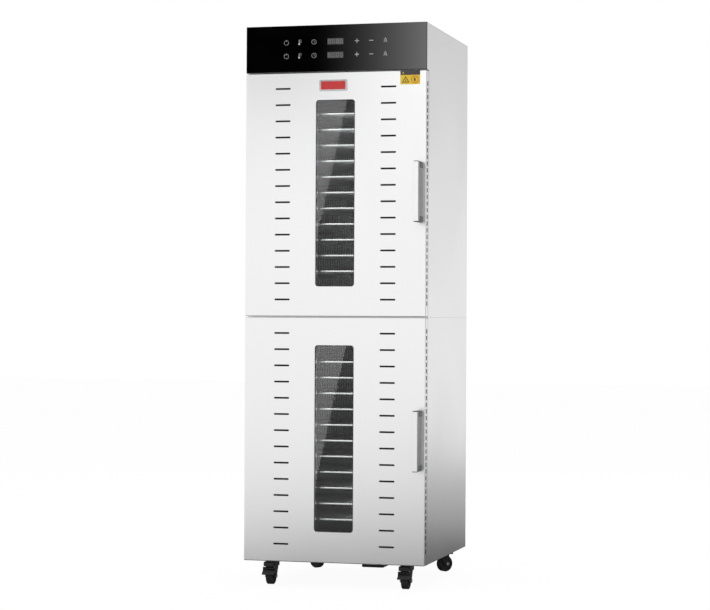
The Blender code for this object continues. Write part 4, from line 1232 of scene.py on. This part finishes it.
class DEHYDRATOR_OT_casters(bpy.types.Operator):
    """Builds one caster, copies it to the four corners and adds the brake pedals at the front."""
    bl_idname = "dehydrator.casters"
    bl_label = "Casters"
    bl_options = {"REGISTER", "UNDO"}

    def plates(self, size):
        """Top plates with four bolts each, riding on the cabinet."""
        plates, bolts = [], []
        for corner in CORNERS:
            x, y, _ = JOINTS[f"{corner}_swivel"]["pos_m"]
            wide, deep = size.plate_width / 2, size.plate_length / 2
            plate = rounded_plate("plate", (x - wide, y - deep, BASE - size.plate), (x + wide, y + deep, BASE - GAP),
                                  0.004, "Z", 4)
            plates.append(round_edges(plate, lies_at("Z", BASE - size.plate), 0.0005, 2))
            for side_x in (-1, 1):
                for side_y in (-1, 1):
                    bx, by = x + side_x * (wide - 0.0055), y + side_y * (deep - 0.0060)
                    head = rod("bolt", (bx, by, BASE - size.plate - 0.0022), (bx, by, BASE - size.plate), 0.0038, 6)
                    bolts.append(round_all(head, 0.0003, 1))
        dress(joined("caster_plates", plates), zinc_plate(), "root", "galvanised_steel")
        dress(joined("caster_bolts", bolts), zinc_plate(), "root", "galvanised_steel")

    def cheek(self, size, side, top, braked):
        """One side of the fork, tapering from the crown to the axle."""
        inner = size.tread / 2 + size.cheek_gap
        lo, hi = sorted((side * inner, side * (inner + size.cheek)))
        part = block("cheek", (lo, -size.trail - 0.008, size.wheel - 0.007), (hi, 0.013, top))
        edit(part, "EDGE", lambda edge: runs_along("X")(edge) and edge.verts[0].co.z < size.wheel
             and edge.verts[0].co.y > 0)
        bpy.ops.transform.translate(value=(0, -0.0225, 0))
        leave_edit()
        round_edges(part, runs_along("X"), 0.0045, 5)
        return round_all(part, 0.0004, 2) if not braked else part

    def fork(self, size, braked):
        low = BASE - size.plate - GAP - 0.012
        high = BASE - size.plate - GAP
        crown = rod("crown", (0, 0, low), (0, 0, high - 0.003), size.crown, 40)
        round_edges(crown, lies_at("Z", low), 0.0018, 3)
        race = rod("race", (0, 0, high - 0.003), (0, 0, high), size.crown * 0.86, 40)
        round_edges(race, lies_at("Z", high - 0.003), 0.0006, 2)
        reach = size.tread / 2 + size.cheek_gap + size.cheek
        foot = 2 * size.wheel + size.pedal_gap + size.pedal - 0.0012
        reach += size.hood
        hood = rounded_plate("hood", (-reach, -size.trail - size.hood_front, foot), (reach, 0.013, high - 0.0035),
                             0.006, "Z", 4)
        round_edges(hood, lies_at("Z", high - 0.0035), 0.0030, 3)
        parts = [crown, hood] + [self.cheek(size, side, low + 0.002, braked) for side in (-1, 1)]
        return joined("fork", parts), race

    def axle(self, size):
        """The axle with a hex head on one side and a nut on the other."""
        reach = size.tread / 2 + size.cheek_gap + size.cheek
        y, z = -size.trail, size.wheel
        parts = [rod("shank", (-reach - 0.003, y, z), (reach + 0.004, y, z), 0.003, 16)]
        for start, thick in ((-reach - 0.0032, 0.0030), (reach + 0.0002, 0.0036)):
            nut = rod("nut", (start, y, z), (start + thick, y, z), 0.0058, 6)
            parts.append(round_all(nut, 0.0004, 1))
        return joined("axle", parts)

    def wheel(self, size):
        half = size.tread / 2
        y, z = -size.trail, size.wheel
        tyre = rod("tyre", (-half, y, z), (half, y, z), size.wheel, 56)
        round_edges(tyre, lambda edge: not runs_along("X")(edge), 0.003, 4)
        for side in (-1, 1):
            lo, hi = sorted((side * (half - 0.002), side * (half + 0.01)))
            cut(tyre, rod("dish", (lo, y, z), (hi, y, z), size.wheel * 0.66, 40))
        cut(tyre, rod("bore", (-0.02, y, z), (0.02, y, z), 0.0034, 20))
        hub = rod("hub", (-half + 0.0006, y, z), (half - 0.0006, y, z), size.wheel * 0.30, 32)
        round_edges(hub, lambda edge: not runs_along("X")(edge), 0.001, 2)
        cut(hub, rod("bore", (-0.02, y, z), (0.02, y, z), 0.0034, 20))
        return tyre, hub

    def pedal(self, size):
        """A shoe curved around the wheel, with two ribs across it, on a pin between the cheeks."""
        inner = size.wheel + size.pedal_gap
        outer = inner + size.pedal
        y, z = -size.trail, size.wheel
        half = size.pedal_width / 2
        shell = rod("shoe", (-half, y, z), (half, y, z), outer, 72)
        cut(shell, rod("inside", (-0.03, y, z), (0.03, y, z), inner, 72))
        tip, shoulder, pin_turn = math.radians(12), math.radians(62), math.radians(70)
        self.keep_arc(shell, y, z, tip, shoulder)
        round_edges(shell, runs_along("X"), 0.0003, 1)
        neck_half = size.tread / 2 + size.cheek_gap - 2 * GAP
        neck = rod("neck", (-neck_half, y, z), (neck_half, y, z), outer, 72)
        cut(neck, rod("inside", (-0.03, y, z), (0.03, y, z), inner, 72))
        self.keep_arc(neck, y, z, shoulder - math.radians(4), pin_turn)
        reach = inner + size.pedal / 2
        pin_y, pin_z = y - reach * math.cos(pin_turn), z + reach * math.sin(pin_turn)
        pin = rod("pin", (-neck_half, pin_y, pin_z), (neck_half, pin_y, pin_z), 0.0025, 16)
        ribs = []
        for turn in (math.radians(16), math.radians(50)):
            out = outer + size.rib / 2 - 0.001
            rib = rounded_plate("rib", (-half, -size.rib / 2 - 0.001, -0.0034), (half, size.rib / 2, 0.0034), 0.0022,
                                "X", 4)
            place = Matrix.Translation((0, y - out * math.cos(turn), z + out * math.sin(turn)))
            rib.data.transform(place @ Matrix.Rotation(-turn, 4, "X"))
            ribs.append(rib)
        return joined("pedal", [shell, neck, pin] + ribs)

    def keep_arc(self, piece, y, z, first, last):
        """Cuts a ring about the axle down to the stretch between two angles up from the front."""
        reach = 0.05
        for turn, side in ((first, -1), (last, 1)):
            outward = Vector((0, -math.cos(turn), math.sin(turn)))
            over = Vector((0, math.sin(turn), math.cos(turn))) * side
            cutter = block("cutter", (-reach, -reach, -reach), (reach, reach, reach))
            spin = Matrix((Vector((1, 0, 0)), outward, over)).transposed()
            if spin.determinant() < 0:
                spin = Matrix((Vector((-1, 0, 0)), outward, over)).transposed()
            cutter.data.transform(Matrix.Translation(Vector((0, y, z)) + over * reach) @ spin.to_4x4())
            cut(piece, cutter)

    def execute(self, context):
        scene = context.scene
        size = scene.dehydrator_caster
        self.plates(size)
        fork, race = self.fork(size, False)
        axle = self.axle(size)
        tyre, hub = self.wheel(size)
        pedal = self.pedal(size)
        for corner in CORNERS:
            matrix = caster_frame(corner)
            caster, wheel = f"{corner}_caster", f"{corner}_wheel"
            pieces = [(fork, "fork", black_plastic, caster, "black_plastic", ["caster_fork"]),
                      (race, "race", zinc_plate, caster, "galvanised_steel", []),
                      (axle, "axle", zinc_plate, caster, "galvanised_steel", []),
                      (tyre, "tyre", tread_rubber, wheel, "wheel_rubber", ["caster_wheel"]),
                      (hub, "hub", black_plastic, wheel, "black_plastic", [])]
            if corner in BRAKED:
                pieces.append((pedal, "pedal_shoe", black_plastic, f"{corner}_pedal", "black_plastic",
                               ["brake_pedal"]))
            for pattern, name, made, body, slot, nodes in pieces:
                dress(copied(pattern, f"{corner}_{name}", matrix=matrix), made(), body, slot,
                      [f"{corner}_{node}" for node in nodes])
        for pattern in (fork, race, axle, tyre, hub, pedal):
            bpy.data.objects.remove(pattern)
        return {"FINISHED"}


class DEHYDRATOR_OT_terminal_box(bpy.types.Operator):
    """Builds the mains terminal box under the base, with its lid and its cable gland."""
    bl_idname = "dehydrator.terminal_box"
    bl_label = "Terminal Box"
    bl_options = {"REGISTER", "UNDO"}

    def execute(self, context):
        low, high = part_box("terminal_box")
        gland = 0.016
        back = high.y - gland
        housing = block("terminal_housing", low, (high.x, back, high.z))
        round_edges(housing, lambda edge: not lies_at("Z", high.z)(edge), 0.003, 4)
        lid = (low.z + high.z) / 2
        seam = block("seam", (low.x - 0.01, low.y - 0.01, lid), (high.x + 0.01, back + 0.01, lid + 0.001))
        core = block("core", (low.x + 0.001, low.y + 0.001, lid - 0.001), (high.x - 0.001, back - 0.001, lid + 0.002))
        cut(seam, core)
        cut(housing, seam)
        x = (low.x + high.x) / 2
        parts = [rod("collar", (x, back, lid), (x, back + 0.005, lid), 0.011, 6),
                 rod("barrel", (x, back, lid), (x, back + 0.010, lid), 0.0092, 32),
                 rod("cap", (x, back + 0.008, lid), (x, high.y, lid), 0.0105, 32)]
        round_edges(parts[2], lies_at("Y", high.y), 0.003, 4)
        cut(parts[2], rod("mouth", (x, high.y - 0.004, lid), (x, high.y + 0.01, lid), 0.0045, 24))
        made = joined("terminal_housing", [housing] + parts)
        dress(made, black_plastic(), "root", "black_plastic", ["terminal_box"])
        return {"FINISHED"}


class DEHYDRATOR_OT_interior(bpy.types.Operator):
    """Adds the wire grilles in front of the fans and the chamber lamps."""
    bl_idname = "dehydrator.interior"
    bl_label = "Interior"
    bl_options = {"REGISTER", "UNDO"}
    GRILLE_INSET, GRILLE_HEAD = 0.030, 0.012
    BEZEL, LENS = 0.024, 0.019

    def grille(self, module, face):
        """A framed wire grid that covers the baffle behind the trays."""
        size = bpy.context.scene.dehydrator_tray
        low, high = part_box(f"{module}_fan_baffle")
        left, right = low.x + self.GRILLE_INSET, high.x - self.GRILLE_INSET
        foot, head = low.z + self.GRILLE_INSET, high.z - self.GRILLE_HEAD
        wire = size.wire * 1.9
        y = face - 3 * wire
        pitch = size.pitch * 1.25
        upright = int((right - left) / pitch)
        level = int((head - foot) / (2 * pitch))
        parts = [
            row(rod("upright", (left, y, foot), (left, y, head), wire, 5), upright + 1,
                ((right - left) / upright, 0, 0)),
            row(rod("level", (left, y + 1.8 * wire, foot), (right, y + 1.8 * wire, foot), wire, 5), level + 1,
                (0, 0, (head - foot) / level)),
        ]
        for x in (left, right):
            parts.append(rod("edge", (x, y, foot), (x, y, head), wire * 2, 10))
        for z in (foot, head):
            parts.append(rod("edge", (left, y, z), (right, y, z), wire * 2, 10))
        return joined(f"{module}_fan_grille", parts)

    def execute(self, context):
        for module in MODULES:
            axis = JOINTS[f"{module}_fan_spin"]["pos_m"]
            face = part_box(f"{module}_fan_baffle")[0].y
            dress(self.grille(module, face), satin_steel(), "root", "bright_steel")
            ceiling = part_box(f"{module}_fan_baffle")[1].z - 0.0012
            y = (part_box(f"{module}_chamber")[0].y + face) / 2
            bezel = rod(f"{module}_lamp_bezel", (MIDDLE, y, ceiling - 0.003), (MIDDLE, y, ceiling - GAP),
                        self.BEZEL, 40)
            round_edges(bezel, lies_at("Z", ceiling - 0.003), 0.0015, 2)
            dress(bezel, zinc_plate(), "root", "galvanised_steel")
            lens = rod(f"{module}_lamp_lens", (MIDDLE, y, ceiling - 0.007), (MIDDLE, y, ceiling - 0.0031),
                       self.LENS, 40)
            round_edges(lens, lies_at("Z", ceiling - 0.007), 0.003, 4)
            dress(lens, lamp_lens(), "root")
        return {"FINISHED"}


class DEHYDRATOR_OT_frame_finishes(bpy.types.Operator):
    """Gives the frame's own pieces that stay in view their materials."""
    bl_idname = "dehydrator.frame_finishes"
    bl_label = "Frame Finishes"
    bl_options = {"REGISTER", "UNDO"}

    def execute(self, context):
        finish_of = {"chamber": bright_steel, "fan_baffle": bright_steel, "fan_motor": zinc_plate,
                     "heater": heater_sheath, "fan": satin_aluminium, "door_liner": satin_steel,
                     "door_glass": window_glass, "door_gasket": seal_silicone}
        kept = {f"{module}_{part}": made for module in MODULES for part, made in finish_of.items()}
        kept["control_board"] = board_green
        for name, finish in kept.items():
            piece = frame["nodes"][name]
            piece.data.materials.clear()
            piece.data.materials.append(finish())
        return {"FINISHED"}


class DEHYDRATOR_OT_stage(bpy.types.Operator):
    """Sets up the floor, the studio's light and the camera."""
    bl_idname = "dehydrator.stage"
    bl_label = "Stage"
    bl_options = {"REGISTER", "UNDO"}
    # Name, place, size and power of each lamp, all turned to one point
    LAMPS = (("key_lamp", (-2.6, -4.2, 3.4), (2.4, 2.4), 60), ("fill_lamp", (3.6, -2.6, 2.0), (2.0, 2.6), 30),
             ("rear_lamp", (0.6, 3.6, 3.0), (2.4, 1.6), 40))
    AIM = Vector((0, 0, 0.85))

    def either(self, tree, first, second, share):
        """A value between two others, by a share from 0 to 1."""
        node = tree.nodes.new("ShaderNodeMix")
        for socket, value in ((node.inputs[2], first), (node.inputs[3], second), (node.inputs[0], share)):
            linked(tree, socket, value)
        return node.outputs[0]

    def blank(self, data, output):
        """The empty node tree of a new material or world, and its output node."""
        data.use_nodes = True
        data.node_tree.nodes.clear()
        return data.node_tree, data.node_tree.nodes.new(output)

    def spot(self, tree, place, middle, inner, outer, tone):
        """A soft dark spot: a tone inside one radius, rising to 1 at another."""
        away = tree.nodes.new("ShaderNodeVectorMath")
        away.operation = "DISTANCE"
        away.inputs[1].default_value = middle
        tree.links.new(place, away.inputs[0])
        fade = tree.nodes.new("ShaderNodeMapRange")
        fade.interpolation_type = "SMOOTHSTEP"
        tree.links.new(away.outputs["Value"], fade.inputs["Value"])
        for title, value in (("From Min", inner), ("From Max", outer), ("To Min", tone), ("To Max", 1.0)):
            fade.inputs[title].default_value = value
        return fade.outputs["Result"]

    def floor_material(self, size):
        """A pale floor: almost white to the camera, and darker near the object to polished metal."""
        made = bpy.data.materials.new("studio_floor")
        tree, output = self.blank(made, "ShaderNodeOutputMaterial")
        diffuse = tree.nodes.new("ShaderNodeBsdfDiffuse")
        diffuse.inputs["Color"].default_value = (*size.floor, 1.0)
        glow = tree.nodes.new("ShaderNodeEmission")
        path = tree.nodes.new("ShaderNodeLightPath")
        place = object_place(tree)
        front = self.spot(tree, place, (size.spot_right, size.spot_back, 0.0), size.spot_inner, size.spot_outer,
                          size.spot_tone)
        behind = self.spot(tree, place, (size.shade_right, size.shade_back, 0.0), size.shade_inner,
                           size.shade_outer, size.shade_tone)
        both = maths(tree, "MULTIPLY", front, behind)
        strength = self.either(tree, size.floor_glow, both, path.outputs["Is Glossy Ray"])
        tree.links.new(strength, glow.inputs["Strength"])
        seen = self.either(tree, 0.0, size.floor_share, path.outputs["Is Camera Ray"])
        share = self.either(tree, seen, 1.0, path.outputs["Is Glossy Ray"])
        mix = tree.nodes.new("ShaderNodeMixShader")
        tree.links.new(share, mix.inputs["Fac"])
        tree.links.new(diffuse.outputs["BSDF"], mix.inputs[1])
        tree.links.new(glow.outputs["Emission"], mix.inputs[2])
        tree.links.new(mix.outputs["Shader"], output.inputs["Surface"])
        return made

    def world(self, scene, size):
        """White to the camera, a soft studio wall to metal and glass, and plain even light to the rest."""
        world = bpy.data.worlds.new("studio")
        scene.world = world
        tree, output = self.blank(world, "ShaderNodeOutputWorld")
        sky = tree.nodes.new("ShaderNodeBackground")
        sky.inputs["Color"].default_value = (1.0, 1.0, 1.0, 1.0)
        path = tree.nodes.new("ShaderNodeLightPath")
        towards = tree.nodes.new("ShaderNodeSeparateXYZ")
        tree.links.new(tree.nodes.new("ShaderNodeTexCoord").outputs["Generated"], towards.inputs[0])
        ahead = scaled(tree, towards.outputs["Z"], size.wall_front, size.wall_front * 0.80, 0.14, 0.55)
        behind = scaled(tree, towards.outputs["Z"], size.wall_back, size.wall_back * 0.30, 0.03, 0.30)
        side = scaled(tree, towards.outputs["Y"], 0.0, 1.0, -0.3, 0.5)
        around = self.either(tree, ahead, behind, side)
        panel = scaled(tree, towards.outputs["X"], 1.0, size.wall_right, 0.50, 0.82)
        wall = maths(tree, "MULTIPLY", around, panel)
        strength = self.either(tree, size.ambient, wall, path.outputs["Is Glossy Ray"])
        for title in ("Is Camera Ray", "Is Transmission Ray"):
            strength = self.either(tree, strength, 1.0, path.outputs[title])
        tree.links.new(strength, sky.inputs["Strength"])
        tree.links.new(sky.outputs["Background"], output.inputs["Surface"])

    def card(self, name, corners, strength, lets_through, ramp=None):
        """A flat reflector that only reflections see; ramp is where its light starts and is full along X."""
        mesh = bpy.data.meshes.new(name)
        mesh.from_pydata(corners, [], [tuple(range(len(corners)))])
        card = bpy.data.objects.new(name, mesh)
        bpy.context.scene.collection.objects.link(card)
        made = bpy.data.materials.new(name)
        tree, output = self.blank(made, "ShaderNodeOutputMaterial")
        glow = tree.nodes.new("ShaderNodeEmission")
        glow.inputs["Strength"].default_value = strength
        if ramp:
            across = tree.nodes.new("ShaderNodeSeparateXYZ")
            tree.links.new(object_place(tree), across.inputs[0])
            rise = scaled(tree, across.outputs["X"], 0.0, 1.0, *ramp)
            lit = maths(tree, "MULTIPLY", maths(tree, "POWER", rise, 2.0), strength)
            tree.links.new(lit, glow.inputs["Strength"])
        surface = glow.outputs["Emission"]
        if lets_through:
            both = tree.nodes.new("ShaderNodeAddShader")
            tree.links.new(surface, both.inputs[0])
            tree.links.new(tree.nodes.new("ShaderNodeBsdfTransparent").outputs["BSDF"], both.inputs[1])
            surface = both.outputs["Shader"]
        tree.links.new(surface, output.inputs["Surface"])
        mesh.materials.append(made)
        for ray in ("camera", "diffuse", "transmission", "volume_scatter"):
            setattr(card, f"visible_{ray}", False)
        card.visible_shadow = not lets_through
        return card

    def mirrored(self, size, x, z, away):
        """Where the camera's ray goes on to after a door's face, at a distance in front of it."""
        eye_x, eye_z, eye = size.eye_right, size.eye_height, size.eye_front + FRONT
        share = away / eye
        return (x + (x - eye_x) * share, FRONT - away, z + (z - eye_z) * share)

    def cards(self, size):
        """The fascia's graded reflection and the slanted gleam in each window."""
        away = size.fascia_away
        corners = [(LEFT - 0.12, FASCIA_BOTTOM - 0.012), (RIGHT + 0.06, FASCIA_BOTTOM - 0.012),
                   (RIGHT + 0.06, TOP + 0.10), (LEFT - 0.12, TOP + 0.10)]
        start = self.mirrored(size, MIDDLE - 0.080, TOP, away)[0]
        end = self.mirrored(size, RIGHT, TOP, away)[0]
        self.card("fascia_card", [self.mirrored(size, x, z, away) for x, z in corners], size.fascia_card,
                  False, (start, end))
        panes = bpy.data.collections.new("panes")
        for module in MODULES:
            panes.objects.link(frame["nodes"][f"{module}_door_glass"])
        away = size.window_away
        for module in MODULES:
            left, right, sill, head = window_of(module)
            corners = [(left - 0.02, head + 0.02), (right - 0.020, head + 0.02), (right - 0.024, head),
                       (left + 0.006, head - 0.40), (left - 0.02, head - 0.50)]
            gleam = self.card(f"{module}_window_card", [self.mirrored(size, x, z, away) for x, z in corners],
                              size.window_card, True)
            gleam.light_linking.receiver_collection = panes

    def lamp(self, scene, name, place, size, power):
        data = bpy.data.lights.new(name, "AREA")
        data.shape = "RECTANGLE"
        data.size, data.size_y = size
        data.energy = power
        lamp = bpy.data.objects.new(name, data)
        lamp.location = place
        lamp.rotation_euler = (self.AIM - Vector(place)).to_track_quat("-Z", "Y").to_euler()
        lamp.visible_glossy = False
        scene.collection.objects.link(lamp)

    def execute(self, context):
        scene = context.scene
        size = scene.dehydrator_stage
        deselect()
        bpy.ops.mesh.primitive_plane_add(size=40, location=(0, 0, 0))
        floor = settled("floor")
        floor.data.materials.append(self.floor_material(size))
        self.world(scene, size)
        self.cards(size)
        for lamp in self.LAMPS:
            self.lamp(scene, *lamp)
        data = bpy.data.cameras.new("camera")
        data.lens = size.lens
        data.sensor_width = 36.0
        data.sensor_fit = "HORIZONTAL"
        camera = bpy.data.objects.new("camera", data)
        camera.location = (size.eye_right, -size.eye_front, size.eye_height)
        turned = (Matrix.Rotation(size.turn, 3, "Z") @ Matrix.Rotation(math.pi / 2 + size.pitch, 3, "X")
                  @ Matrix.Rotation(size.roll, 3, "Z"))
        camera.rotation_euler = turned.to_euler()
        scene.collection.objects.link(camera)
        scene.camera = camera
        scene.view_settings.view_transform = "Standard"
        return {"FINISHED"}


MAKERS = (
    DEHYDRATOR_OT_casings, DEHYDRATOR_OT_back, DEHYDRATOR_OT_doors, DEHYDRATOR_OT_window_trims, DEHYDRATOR_OT_hinges,
    DEHYDRATOR_OT_handles, DEHYDRATOR_OT_trays, DEHYDRATOR_OT_controls, DEHYDRATOR_OT_badge,
    DEHYDRATOR_OT_casters, DEHYDRATOR_OT_terminal_box, DEHYDRATOR_OT_interior,
    DEHYDRATOR_OT_frame_finishes, DEHYDRATOR_OT_stage,
)
SETTINGS = {
    "dehydrator_cabinet": CabinetSettings, "dehydrator_door": DoorSettings,
    "dehydrator_handle": HandleSettings, "dehydrator_tray": TraySettings,
    "dehydrator_control": ControlSettings, "dehydrator_badge": BadgeSettings,
    "dehydrator_caster": CasterSettings, "dehydrator_finish": FinishSettings,
    "dehydrator_stage": StageSettings,
}


class DEHYDRATOR_PT_panel(bpy.types.Panel):
    """Lists the makers and the settings in the sidebar."""
    bl_idname = "DEHYDRATOR_PT_panel"
    bl_label = "Dehydrator"
    bl_space_type = "VIEW_3D"
    bl_region_type = "UI"
    bl_category = "Dehydrator"

    def draw(self, context):
        for maker in MAKERS:
            self.layout.operator(maker.bl_idname)
        for name, group in SETTINGS.items():
            box = self.layout.box()
            for title in group.__annotations__:
                box.prop(getattr(context.scene, name), title)


def register():
    for name, group in SETTINGS.items():
        bpy.utils.register_class(group)
        setattr(bpy.types.Scene, name, PointerProperty(type=group))
    for maker in MAKERS:
        bpy.utils.register_class(maker)
    bpy.utils.register_class(DEHYDRATOR_PT_panel)


def unregister():
    bpy.utils.unregister_class(DEHYDRATOR_PT_panel)
    for maker in reversed(MAKERS):
        bpy.utils.unregister_class(maker)
    for name, group in SETTINGS.items():
        delattr(bpy.types.Scene, name)
        bpy.utils.unregister_class(group)


def main():
    register()
    for maker in MAKERS:
        family, action = maker.bl_idname.split(".")
        getattr(getattr(bpy.ops, family), action)()


if __name__ == "__main__":
    main()
